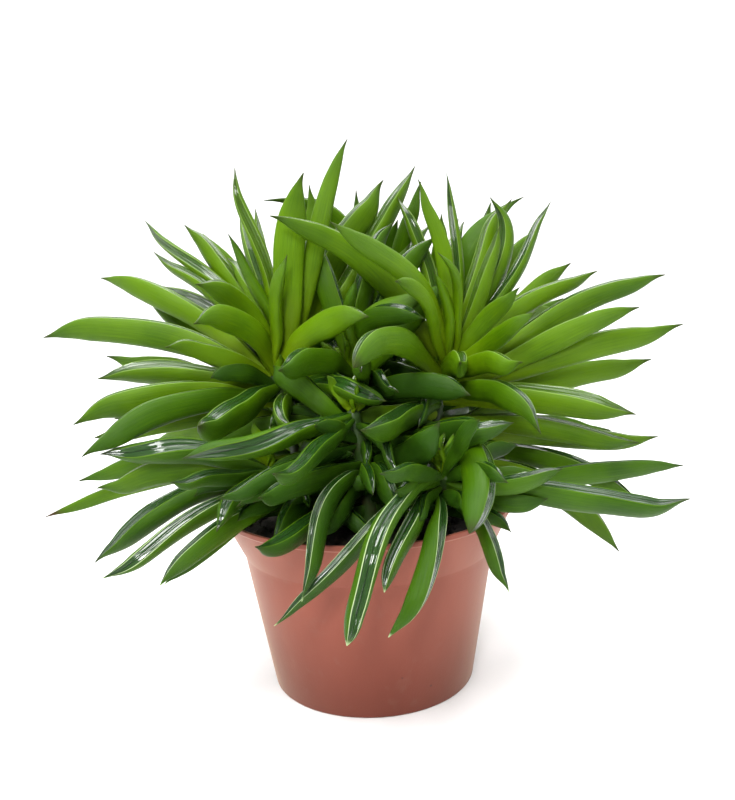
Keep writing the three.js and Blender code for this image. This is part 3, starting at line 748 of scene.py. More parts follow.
@dataclass
class Shader:
    """A material's node tree while it is put together."""

    material: bpy.types.Material

    @classmethod
    def named(cls, name: str) -> "Shader":
        """A new material's tree, with its shader and output kept.

        Args:
            name: The material's name.

        Returns:
            The tree, ready for nodes.
        """
        material = bpy.data.materials.new(name)
        material.use_nodes = True
        return cls(material)

    @property
    def principled(self) -> bpy.types.Node:
        """The material's own shader node."""
        return self.material.node_tree.nodes["Principled BSDF"]

    def feed(self, socket: Socket, value: object) -> None:
        """Links a socket to another, or sets its value.

        Args:
            socket: The input.
            value: An output socket, a number, or a colour of three.
        """
        if isinstance(value, bpy.types.NodeSocket):
            self.material.node_tree.links.new(value, socket)
        elif socket.type == "RGBA":
            socket.default_value = (*value, 1.0)
        else:
            socket.default_value = value

    def node(self, kind: str, inputs: dict | None = None, **settings: object) -> bpy.types.Node:
        """Adds a node.

        Args:
            kind: The node's type.
            inputs: Values or sockets by input name or number.
            settings: The node's own properties.

        Returns:
            The new node.
        """
        made = self.material.node_tree.nodes.new(kind)
        for name, value in settings.items():
            setattr(made, name, value)
        for name, value in (inputs or {}).items():
            self.feed(made.inputs[name], value)
        return made

    def math(self, operation: str, a: object, b: object = 0.5, clamp: bool = False) -> Socket:
        """One arithmetic step on two numbers."""
        made = self.node("ShaderNodeMath", {0: a, 1: b}, operation=operation, use_clamp=clamp)
        return made.outputs[0]

    def times(self, a: object, b: object) -> Socket:
        """The product of two numbers."""
        return self.math("MULTIPLY", a, b)

    def step(self, value: object, low: float, high: float) -> Socket:
        """A smooth step of a number, 3 s² - 2 s³ with s from 0 at low to 1 at high.

        Args:
            value: The number.
            low: Where the step starts; it may be above high, for a step down.
            high: Where the step ends.

        Returns:
            The step's value.
        """
        inputs = {"Value": value, "From Min": low, "From Max": high, "To Min": 0.0, "To Max": 1.0}
        made = self.node("ShaderNodeMapRange", inputs, interpolation_type="SMOOTHSTEP")
        return made.outputs["Result"]

    def mix(self, factor: object, a: object, b: object) -> Socket:
        """A blend of two colours."""
        return self.node("ShaderNodeMix", {0: factor, 6: a, 7: b}, data_type="RGBA").outputs[2]

    def blend(self, factor: object, a: object, b: object) -> Socket:
        """A blend of two numbers."""
        return self.node("ShaderNodeMix", {0: factor, 2: a, 3: b}, data_type="FLOAT").outputs[0]

    def place(self) -> Socket:
        """Object coordinates in metres."""
        return self.node("ShaderNodeTexCoord").outputs["Object"]

    def stretched(self, vector: object, scale: Triple) -> Socket:
        """A vector scaled along its axes."""
        return self.node("ShaderNodeMapping", {"Vector": vector, "Scale": scale}).outputs[0]

    def noise(self, vector: object, scale: float, detail: float = 2.0, rough: float = 0.5) -> Socket:
        """Soft noise round 0.5."""
        inputs = {"Vector": vector, "Scale": scale, "Detail": detail, "Roughness": rough}
        return self.node("ShaderNodeTexNoise", inputs).outputs[0]

    def parts(self, vector: object) -> tuple[Socket, ...]:
        """The three numbers of a vector or colour."""
        return tuple(self.node("ShaderNodeSeparateXYZ", {0: vector}).outputs)

    def bump(self, height: object, distance: float, strength: float = 1.0) -> Socket:
        """A surface normal tipped by a height in metres times distance."""
        inputs = {"Height": height, "Distance": distance, "Strength": strength}
        return self.node("ShaderNodeBump", inputs).outputs[0]

    def finish(self, **inputs: object) -> bpy.types.Material:
        """Feeds the shader's inputs.

        Args:
            inputs: Values or sockets by input name, with underscores for spaces.

        Returns:
            The material.
        """
        for name, value in inputs.items():
            self.feed(self.principled.inputs[name.replace("_", " ")], value)
        return self.material


@dataclass(frozen=True)
class LeafReading:
    """What the leaf's finish reads: places on the leaf, the leaf's kind and its noises."""

    along: Socket
    around: Socket
    age: Socket
    pale: Socket
    dry: Socket
    mottle: Socket
    grain: Socket
    fibre: Socket
    ripple: Socket


@dataclass(frozen=True)
class LeafFinish:
    """Waxy leaf: green flanks, pale margins and a dark glossy window between them, with painted light
    on the upper flanks and painted shade along the keel and in the window's centre groove.

    A run is where a smooth step starts and ends, along the leaf from root to tip or around it from
    keel to window. Ages are where a step by the leaf's age starts and ends. A pair of shares or
    roughnesses is blended by such a step.
    """

    # young is also the painted light on the upper flanks.
    young: Colour = (0.09, 0.184, 0.001)
    grown: Colour = (0.044, 0.112, 0.001)
    # shaded is the darkest green of older leaves, and also the painted shade along the keel and on
    # stems with painted shade.
    shaded: Colour = (0.02, 0.062, 0.003)
    heart: Colour = (0.19, 0.29, 0.004)
    window: Colour = (0.014, 0.052, 0.006)
    streak: Colour = (0.045, 0.11, 0.016)
    # The next colour is the painted shade in the window's centre groove.
    crease_shade: Colour = (0.007, 0.03, 0.003)
    margin: Colour = (0.24, 0.35, 0.09)
    frost: Colour = (0.45, 0.56, 0.3)
    ripe: Colour = (0.022, 0.022, 0.006)
    dried: Colour = (0.05, 0.024, 0.01)

    mottle_scale: float = 55.0
    grain_scale: float = 420.0
    fibre_stretch: Triple = (5.0, 46.0, 1.0)
    ripple_stretch: Triple = (7.0, 84.0, 1.0)
    drift: float = 1.5
    grown_ages: Span = (0.0, 0.5)
    shaded_ages: Span = (0.45, 1.0)
    heart_run: Span = (0.55, 0.04)
    heart_ages: Span = (0.6, 0.1)
    heart_share: float = 0.75
    outer_run: Span = (0.6, 1.0)
    outer_share: float = 0.5
    painted_light_run: Span = (0.5, 0.76)
    painted_light_ages: Span = (0.1, 0.6)
    painted_light_shares: Span = (0.4, 0.05)
    keel_shade_run: Span = (0.06, 0.0)
    keel_shade_share: float = 0.3

    window_run: Span = (0.83, 0.87)
    window_end: Span = (0.995, 0.95)
    crease_shade_run: Span = (0.96, 0.995)
    streak_step: Span = (0.5, 0.72)
    streak_share: float = 0.5
    pane_ages: Span = (0.5, 0.0)
    pane_share: float = 0.6

    rim_rise: Span = (0.795, 0.81)
    rim_fall: Span = (0.855, 0.835)
    rim_ends: Span = (0.975, 0.999)
    rim_start: Span = (0.1, 0.4)
    edge_ages: Span = (0.3, 0.7)
    edge_shares: Span = (0.6, 0.8)
    point_run: Span = (0.93, 1.0)
    point_shares: Span = (0.8, 0.0)
    dried_run: Span = (0.9, 0.97)

    flank_rough: Span = (0.3, 0.44)
    window_rough: Span = (0.08, 0.2)
    furrow_shares: Span = (0.25, 0.9)
    mottle_relief: float = 0.8
    relief: float = 0.0006
    gloss: float = 0.9

    def read(self, s: Shader) -> LeafReading:
        """Adds the nodes that read the leaf.

        Args:
            s: The material's tree.

        Returns:
            The sockets that the finish is worked out from.
        """
        run = s.node("ShaderNodeUVMap", uv_map=LEAF_RUN).outputs[0]
        along, around, _ = s.parts(run)
        kind = s.node("ShaderNodeAttribute", attribute_name=LEAF_KIND).outputs["Color"]
        place = s.place()
        mottle = s.noise(place, self.mottle_scale, 3.0)
        grain = s.noise(place, self.grain_scale, 2.0)
        fibre = s.noise(s.stretched(run, self.fibre_stretch), 1.0, 2.0)
        ripple = s.noise(s.stretched(run, self.ripple_stretch), 1.0, 2.0)
        return LeafReading(along, around, *s.parts(kind), mottle, grain, fibre, ripple)

    def flank(self, s: Shader, at: LeafReading) -> Socket:
        """Green of the leaf's sides: younger at the root and darker at the tip, with painted light on
        the upper flank and painted shade along the keel.

        Args:
            s: The material's tree.
            at: The leaf's sockets.

        Returns:
            The colour.
        """
        mean = s.math("ADD", s.times(at.mottle, 0.5), s.times(at.fibre, 0.5))
        # The leaf's darkness joins its real aging with its stem's painted shade.
        age_and_shade_tone = s.math("ADD", at.age, s.times(s.math("SUBTRACT", mean, 0.5), self.drift))
        flank = s.mix(s.step(age_and_shade_tone, *self.grown_ages), self.young, self.grown)
        flank = s.mix(s.step(age_and_shade_tone, *self.shaded_ages), flank, self.shaded)
        heart = s.times(s.step(at.along, *self.heart_run), s.step(at.age, *self.heart_ages))
        flank = s.mix(s.times(heart, self.heart_share), flank, self.heart)
        outer = s.times(s.step(at.along, *self.outer_run), self.outer_share)
        flank = s.mix(outer, flank, self.shaded)
        # Painted light: the upper flank is laid in the young green, most on young leaves.
        upper = s.blend(s.step(at.age, *self.painted_light_ages), *self.painted_light_shares)
        flank = s.mix(s.times(s.step(at.around, *self.painted_light_run), upper), flank, self.young)
        # Painted shade: the keel, the underside of the leaf, darkens to the shaded green.
        keel = s.times(s.step(at.around, *self.keel_shade_run), self.keel_shade_share)
        return s.mix(keel, flank, self.shaded)

    def pane(self, s: Shader, at: LeafReading, flank: Socket) -> Socket:
        """Dark streaked green of the window with painted shade in its centre groove, nearer to the
        flank's on a young leaf.

        Args:
            s: The material's tree.
            at: The leaf's sockets.
            flank: The flank's colour.

        Returns:
            The colour.
        """
        # Painted shade: the window darkens in its centre groove.
        pane = s.mix(s.step(at.around, *self.crease_shade_run), self.window, self.crease_shade)
        streaks = s.times(s.step(at.fibre, *self.streak_step), self.streak_share)
        pane = s.mix(streaks, pane, self.streak)
        return s.mix(s.times(s.step(at.age, *self.pane_ages), self.pane_share), pane, flank)

    def edged(self, s: Shader, at: LeafReading, colour: Socket) -> Socket:
        """Lays the pale margins, the dark point and the dried tip over a colour.

        Args:
            s: The material's tree.
            at: The leaf's sockets.
            colour: The colour of flank and window.

        Returns:
            The leaf's colour.
        """
        rim = s.times(s.step(at.around, *self.rim_rise), s.step(at.around, *self.rim_fall))
        ends = s.times(s.step(at.along, *self.rim_ends), at.pale)
        rim = s.times(s.math("MAXIMUM", rim, ends), s.step(at.along, *self.rim_start))
        edge = s.mix(s.step(at.age, *self.edge_ages), self.margin, self.young)
        edge = s.mix(at.pale, edge, self.frost)
        colour = s.mix(s.times(rim, s.blend(at.pale, *self.edge_shares)), colour, edge)
        point = s.times(s.step(at.along, *self.point_run), s.blend(at.pale, *self.point_shares))
        colour = s.mix(point, colour, self.ripe)
        return s.mix(s.times(at.dry, s.step(at.along, *self.dried_run)), colour, self.dried)

    def make(self) -> bpy.types.Material:
        """Builds the leaf material from the leaf's own run and kind.

        Returns:
            The material.
        """
        s = Shader.named("waxy_leaf")
        at = self.read(s)
        window = s.times(s.step(at.around, *self.window_run), s.step(at.along, *self.window_end))
        flank = self.flank(s, at)
        colour = self.edged(s, at, s.mix(window, flank, self.pane(s, at, flank)))
        dull, glossy = s.blend(at.grain, *self.flank_rough), s.blend(at.grain, *self.window_rough)
        furrow = s.times(at.ripple, s.blend(window, *self.furrow_shares))
        height = s.math("ADD", furrow, s.times(at.mottle, self.mottle_relief))
        return s.finish(
            Base_Color=colour, Roughness=s.blend(window, dull, glossy),
            Normal=s.bump(height, self.relief), Specular_IOR_Level=0.13,
            Subsurface_Weight=0.08, Subsurface_Radius=(0.6, 1.0, 0.1), Subsurface_Scale=0.002,
            Coat_Weight=s.times(window, self.gloss), Coat_Roughness=0.06,
        )


@dataclass(frozen=True)
class StalkFinish:
    """Soft green stem skin with brown patches."""

    green: Colour = (0.025, 0.06, 0.008)
    brown: Colour = (0.04, 0.026, 0.01)
    patch_scale: float = 140.0
    patch_step: Span = (0.45, 0.7)
    relief: float = 0.0006

    def make(self) -> bpy.types.Material:
        """Builds the stem material.

        Returns:
            The material.
        """
        s = Shader.named("stalk_skin")
        patch = s.noise(s.place(), self.patch_scale, 3.0)
        colour = s.mix(s.step(patch, *self.patch_step), self.green, self.brown)
        return s.finish(Base_Color=colour, Roughness=0.5, Normal=s.bump(patch, self.relief))


@dataclass(frozen=True)
class PotFinish:
    """Satin terracotta-pink moulded plastic with faint flow marks, specks and dust, and painted shade
    towards the bottom.
    """

    pink: Colour = (0.228, 0.064, 0.042)
    # deep is the darker pink of the flow marks and of the painted shade towards the bottom.
    deep: Colour = (0.152, 0.038, 0.024)
    speck: Colour = (0.08, 0.03, 0.025)
    dust: Colour = (0.2, 0.12, 0.09)

    flow_stretch: Triple = (1.0, 1.0, 0.25)
    flow_scale: float = 45.0
    flow_tone: float = 0.6
    flow_relief: float = 0.6
    grain_scale: float = 1400.0
    grain_relief: float = 0.1
    painted_shade_heights: Span = (0.05, 0.004)
    speck_scale: float = 95.0
    speck_radii: Span = (0.07, 0.03)
    pick_scale: float = 60.0
    pick_step: Span = (0.56, 0.6)
    speck_share: float = 0.8
    smear_scale: float = 130.0
    smear_step: Span = (0.58, 0.75)
    smear_share: float = 0.12
    rough: Span = (0.38, 0.52)
    relief: float = 0.0004

    def make(self) -> bpy.types.Material:
        """Builds the pot material on Object coordinates.

        Returns:
            The material.
        """
        s = Shader.named("pot_plastic")
        place = s.place()
        _, _, height = s.parts(place)
        flow = s.noise(s.stretched(place, self.flow_stretch), self.flow_scale, 3.0)
        grain = s.noise(place, self.grain_scale, 2.0)
        drift = s.times(s.math("SUBTRACT", flow, 0.5), self.flow_tone)
        # Painted shade: the pink darkens towards the bottom, on top of the flow marks' real variation.
        flow_tone_and_shade = s.math("ADD", s.step(height, *self.painted_shade_heights), drift, clamp=True)
        colour = s.mix(flow_tone_and_shade, self.pink, self.deep)
        cells = s.node("ShaderNodeTexVoronoi", {"Vector": place, "Scale": self.speck_scale})
        pick = s.step(s.noise(place, self.pick_scale, 0.0), *self.pick_step)
        specks = s.times(s.step(cells.outputs["Distance"], *self.speck_radii), pick)
        colour = s.mix(s.times(specks, self.speck_share), colour, self.speck)
        smear = s.step(s.noise(place, self.smear_scale, 4.0), *self.smear_step)
        colour = s.mix(s.times(smear, self.smear_share), colour, self.dust)
        bumps = s.math("ADD", s.times(grain, self.grain_relief), s.times(flow, self.flow_relief))
        return s.finish(
            Base_Color=colour, Roughness=s.blend(flow, *self.rough),
            Normal=s.bump(bumps, self.relief), Specular_IOR_Level=0.14,
            Sheen_Weight=0.3, Sheen_Roughness=0.4, Sheen_Tint=(1.0, 0.76, 0.54),
        )


@dataclass(frozen=True)
class SoilFinish:
    """Damp peat: nearly black, with brown fibres and rough crumbs."""

    peat: Colour = (0.012, 0.009, 0.007)
    crumb: Colour = (0.045, 0.03, 0.02)
    lump_scale: float = 260.0
    lump_step: Span = (0.45, 0.75)
    fine_scale: float = 1500.0
    fine_relief: float = 0.4
    relief: float = 0.0015

    def make(self) -> bpy.types.Material:
        """Builds the soil material.

        Returns:
            The material.
        """
        s = Shader.named("damp_peat")
        place = s.place()
        lumps = s.noise(place, self.lump_scale, 5.0, 0.65)
        fine = s.noise(place, self.fine_scale, 4.0, 0.7)
        colour = s.mix(s.step(lumps, *self.lump_step), self.peat, self.crumb)
        height = s.math("ADD", lumps, s.times(fine, self.fine_relief))
        return s.finish(Base_Color=colour, Roughness=0.92, Normal=s.bump(height, self.relief))


@dataclass(frozen=True)
class FloorFinish:
    """Plain pale studio floor with a faint unevenness."""

    pale: Colour = (0.86, 0.86, 0.86)
    paler: Colour = (0.9, 0.9, 0.9)
    scale: float = 3.0

    def make(self) -> bpy.types.Material:
        """Builds the floor material.

        Returns:
            The material.
        """
        s = Shader.named("pale_floor")
        soft = s.noise(s.place(), self.scale, 2.0)
        return s.finish(Base_Color=s.mix(soft, self.pale, self.paler), Roughness=0.8)


@dataclass
class Surface:
    """A mesh while it is gathered: points in mm, faces of four (or three), runs and kinds."""

    points: list[Array] = field(default_factory=list)
    faces: list[Array] = field(default_factory=list)
    runs: list[Array] = field(default_factory=list)
    kinds: list[Array] = field(default_factory=list)
    skins: list[Array] = field(default_factory=list)
    count: int = 0

    def add(
        self, points: Array, faces: list[Array], run: Array, kind: Array, skin: int = 0
    ) -> None:
        """Adds a part of the mesh.

        Args:
            points: Points in mm, shaped (points, 3).
            faces: Index arrays of triangles and of quads into these points.
            run: Each point's place along and around, shaped (points, 2).
            kind: Each point's darkness from aging and painted shade, paleness and dryness, shaped
                (points, 3).
            skin: Which of the object's materials the part has.
        """
        self.points.append(points)
        self.runs.append(run)
        self.kinds.append(kind)
        for block in faces:
            self.faces.append(block + self.count)
            self.skins.append(np.full(len(block), skin))
        self.count += len(points)

    def add_plain(self, points: Array, faces: list[Array]) -> None:
        """Adds a part of the mesh whose material reads no run and no kind."""
        self.add(points, faces, np.zeros((len(points), 2)), np.zeros((len(points), 3)))

    def build(self, name: str, materials: list[bpy.types.Material]) -> bpy.types.Object:
        """Makes the object, in metres, at the origin, smooth, with its run and kind stored.

        Args:
            name: The object's name.
            materials: The object's materials in order.

        Returns:
            The new object, linked to the scene.
        """
        points = np.concatenate(self.points) * MM
        corners = np.concatenate([block.reshape(-1) for block in self.faces])
        sizes = np.concatenate([np.full(len(block), block.shape[1]) for block in self.faces])
        starts = np.concatenate([[0], np.cumsum(sizes)[:-1]])
        mesh = bpy.data.meshes.new(name)
        mesh.vertices.add(len(points))
        mesh.vertices.foreach_set("co", points.astype(np.float32).reshape(-1))
        mesh.loops.add(len(corners))
        mesh.loops.foreach_set("vertex_index", corners.astype(np.int32))
        mesh.polygons.add(len(sizes))
        mesh.polygons.foreach_set("loop_start", starts.astype(np.int32))
        skins = np.concatenate(self.skins).astype(np.int32)
        mesh.polygons.foreach_set("material_index", skins)
        mesh.update(calc_edges=True)
        mesh.validate()
        mesh.shade_smooth()
        run = np.concatenate(self.runs)[corners].astype(np.float32)
        mesh.uv_layers.new(name=LEAF_RUN).uv.foreach_set("vector", run.reshape(-1))
        kind = np.concatenate(self.kinds)
        kind = np.concatenate([kind, np.ones((len(kind), 1))], axis=1).astype(np.float32)
        colours = mesh.color_attributes.new(name=LEAF_KIND, type="FLOAT_COLOR", domain="POINT")
        colours.data.foreach_set("color", kind.reshape(-1))
        for material in materials:
            mesh.materials.append(material)
        made = bpy.data.objects.new(name, mesh)
        bpy.context.scene.collection.objects.link(made)
        return made


def tube_faces(tubes: int, rings: int, sides: int) -> list[Array]:
    """Faces of closed tubes whose points are start pole, rings and end pole, tube after tube.

    Args:
        tubes: How many tubes.
        rings: Rings in each.
        sides: Points in each ring.

    Returns:
        Triangles at the poles and quads between the rings, facing outwards where the ring turns
        from below to the side that along × up gives.
    """
    size = rings * sides + 2
    base = (np.arange(tubes) * size)[:, None]
    k = np.arange(sides)
    after = (k + 1) % sides
    first = base + 1
    last = base + 1 + (rings - 1) * sides
    start = np.stack(np.broadcast_arrays(base + 0 * k, first + k, first + after), axis=-1)
    end = np.stack(np.broadcast_arrays(base + size - 1 + 0 * k, last + after, last + k), axis=-1)
    ring = (np.arange(rings - 1) * sides)[None, :, None] + first[:, :, None]
    quads = np.stack([ring + k, ring + sides + k, ring + sides + after, ring + after], axis=-1)
    return [np.concatenate([start.reshape(-1, 3), end.reshape(-1, 3)]), quads.reshape(-1, 4)]


def circle(sides: int) -> Array:
    """Unit circle that turns clockwise seen from above: (cos a, sin a, 0), shaped (sides, 3)."""
    angle = -np.arange(sides) * 2 * math.pi / sides
    return np.stack([np.cos(angle), np.sin(angle), 0 * angle], axis=1)


@dataclass(frozen=True)
class LeafForm:
    """The leaf's shape as parts of its depth: a half section from keel to window, and a profile.

    A run is where a smooth step along the leaf starts and ends, and a pace is an angle in radians
    from root to tip.
    """

    around: Row = (
        0.0, 0.08, 0.17, 0.27, 0.38, 0.49, 0.6, 0.7, 0.765,
        0.8, 0.825, 0.85, 0.87, 0.9, 0.935, 0.97, 1.0,
    )
    wide: Row = (
        0.0, 0.09, 0.17, 0.228, 0.264, 0.278, 0.27, 0.24, 0.205,
        0.18, 0.163, 0.152, 0.141, 0.11, 0.07, 0.028, 0.0,
    )
    high: Row = (
        -0.5, -0.47, -0.39, -0.27, -0.12, 0.04, 0.19, 0.31, 0.38,
        0.415, 0.428, 0.42, 0.398, 0.398, 0.412, 0.4, 0.375,
    )
    stations: Row = (0.0, 0.14, 0.36, 0.6, 0.79, 0.9, 0.96, 1.0)
    sharp: Row = (0.24, 0.5, 0.88, 1.0, 0.86, 0.5, 0.18, 0.03)
    blunt: Row = (0.24, 0.5, 0.84, 1.0, 0.95, 0.78, 0.5, 0.04)
    fine_steps: int = 46
    plain_steps: int = 30
    last_step: float = 0.997
    crowding: float = 1.35
    point: float = 0.15
    turned_wide: float = 0.5
    petiole: float = 0.2
    petiole_wide: float = 1.7
    sunk: float = 1.7
    twist: float = 18.0
    twist_run: Span = (0.1, 0.9)
    wander: float = 0.8
    wander_run: Span = (0.1, 0.4)
    wander_pace: float = 9.0
    swell: float = 0.035
    swell_pace: float = 15.0
    hook: float = 0.22
    hook_out: Span = (0.62, 0.9)
    hook_back: Span = (0.85, 1.0)
    hook_up: Span = (-1.2, 0.6)
    hook_side: Span = (-0.6, 0.6)

    def steps(self, count: int) -> Array:
        """Places along the leaf, closer together at the tip: 1 - (1 - s)^crowding."""
        return 1 - (1 - np.linspace(0, self.last_step, count)) ** self.crowding

    def section(self, fine: bool) -> tuple[Array, Array, Array]:
        """The whole section, from the keel up one side and down the other.

        Args:
            fine: Whether the section has all its points or every second one.

        Returns:
            Run around, width and height of each point.
        """
        keep = slice(None, None, 1 if fine else 2)
        around, wide, high = (np.array(v)[keep] for v in (self.around, self.wide, self.high))
        back = slice(-2, 0, -1)
        return (
            np.concatenate([around, around[back]]),
            np.concatenate([wide, -wide[back]]),
            np.concatenate([high, high[back]]),
        )

    def spine(
        self, leaves: Foliage, t: Array, rng: np.random.Generator
    ) -> tuple[Array, Array, Array, Array, Array]:
        """Frames carried along each leaf's curve, wandering, twisted and hooked by seeded draws.

        The twist grows with t, the wander and the swell are sines of t, and the hook lifts the
        centre up and to the side before the tip and brings it back.

        Args:
            leaves: The leaves.
            t: Places along the leaf.
            rng: Seeded draws.

        Returns:
            Centres, directions along, up and to the side, and depths, one for each leaf and place.
        """
        count = len(leaves.stem)
        centre, along, up, side = carried_frames(leaves.points, t, leaves.turn)
        turn = np.radians(self.twist) * rng.uniform(-1, 1, (count, 1)) * eased(t, *self.twist_run)
        phase = rng.uniform(0, 2 * math.pi, (count, 2))
        sway = np.sin(t * self.wander_pace + phase[:, :1]) * eased(t, *self.wander_run)
        centre = centre + side * (self.wander * sway)[..., None]
        turned = up * np.cos(turn)[..., None] + side * np.sin(turn)[..., None]
        side = side * np.cos(turn)[..., None] - up * np.sin(turn)[..., None]
        knots = np.array(self.stations)
        blunt = leaves.blunt[:, None]
        profile = monotone(t, knots, np.array(self.sharp)) * (1 - blunt)
        profile = profile + monotone(t, knots, np.array(self.blunt)) * blunt
        swell = 1 + self.swell * np.sin(t * self.swell_pace + phase[:, 1:])
        depth = profile * leaves.depth[:, None] * swell
        bend = eased(t, *self.hook_out) * (1 - eased(t, *self.hook_back))
        bend = bend * leaves.depth[:, None] * self.hook
        centre = centre + turned * (bend * rng.uniform(*self.hook_up, (count, 1)))[..., None]
        centre = centre + side * (bend * rng.uniform(*self.hook_side, (count, 1)))[..., None]
        return centre, along, turned, side, depth

    def build(
        self, surface: Surface, leaves: Foliage, kinds: Array, fine: bool, rng: np.random.Generator
    ) -> None:
        """Adds leaves to a surface.

        A point is centre + side · wide(v) · depth(t) · open + up · high(v) · depth(t), with the
        frames and depths of spine.

        Args:
            surface: The mesh being gathered.
            leaves: The leaves to add.
            kinds: Each leaf's darkness from aging and painted shade, paleness and dryness.
            fine: Whether the section has all its points.
            rng: Seeded draws.
        """
        count = len(leaves.stem)
        if not count:
            return
        t = self.steps(self.fine_steps if fine else self.plain_steps)
        centre, along, up, side, depth = self.spine(leaves, t, rng)
        around, wide, high = self.section(fine)
        stalk = 1 + (self.petiole_wide - 1) * (1 - eased(t, 0.0, self.petiole))
        flat = np.abs(np.sin(np.radians(leaves.turn)))
        opened = np.maximum(leaves.opened, 1 + self.turned_wide * flat)
        across = (wide * stalk[:, None])[None] * (depth * opened[:, None])[..., None]
        lift = high * depth[..., None]
        rings = centre[:, :, None] + side[:, :, None] * across[..., None]
        rings = rings + up[:, :, None] * lift[..., None]
        start = leaves.points[:, 0] - along[:, 0] * self.sunk
        end = centre[:, -1:] + along[:, -1:] * self.point
        points = np.concatenate([start[:, None], rings.reshape(count, -1, 3), end], axis=1)
        run = np.stack(np.broadcast_arrays(t[:, None], around), axis=-1).reshape(-1, 2)
        run = np.concatenate([[[0, 0.5]], run, [[1, 0.5]]])
        kind = np.repeat(kinds, len(run), axis=0)
        faces = tube_faces(count, len(t), len(around))
        surface.add(points.reshape(-1, 3), faces, np.tile(run, (count, 1)), kind)


@dataclass(frozen=True)
class ShortLeaves:
    """Short leaves of one stem, spread round it by the golden angle; sizes in mm, lifts in degrees.

    A leaf's four curve points lie at the shares of its length along its reach, each raised by its
    part of the leaf's bend.
    """

    count: int
    levels: Span
    lift: Span
    length: Span
    bend: Span
    shares: Row
    raised: Row
    depth: float
    age: float
    golden: float = 2.4
    first_turn: float = 6.0

    def grow(self, number: int, rng: np.random.Generator) -> Foliage:
        """Draws the leaves.

        Args:
            number: The stem's number.
            rng: Seeded draws.

        Returns:
            The leaves, all marked as seen.
        """
        count = self.count
        stem = np.full(count, number)
        root = stem_point(stem, np.linspace(*self.levels, count))
        bearing = np.arange(count) * self.golden + rng.uniform(0, self.first_turn)
        lift = np.radians(rng.uniform(*self.lift, count))
        flat = np.cos(lift)
        reach = np.stack([flat * np.cos(bearing), flat * np.sin(bearing), np.sin(lift)], axis=1)
        length = rng.uniform(*self.length, count)
        bend = np.array([0, 0, 1.0]) * rng.uniform(*self.bend, (count, 1))
        reach = reach * length[:, None]
        pairs = zip(self.shares, self.raised)
        points = np.stack([root + reach * share + bend * part for share, part in pairs], axis=1)
        one = np.ones(count)
        return Foliage(stem, points, length * self.depth, one, 0 * one, 0 * one, one > 0, one)


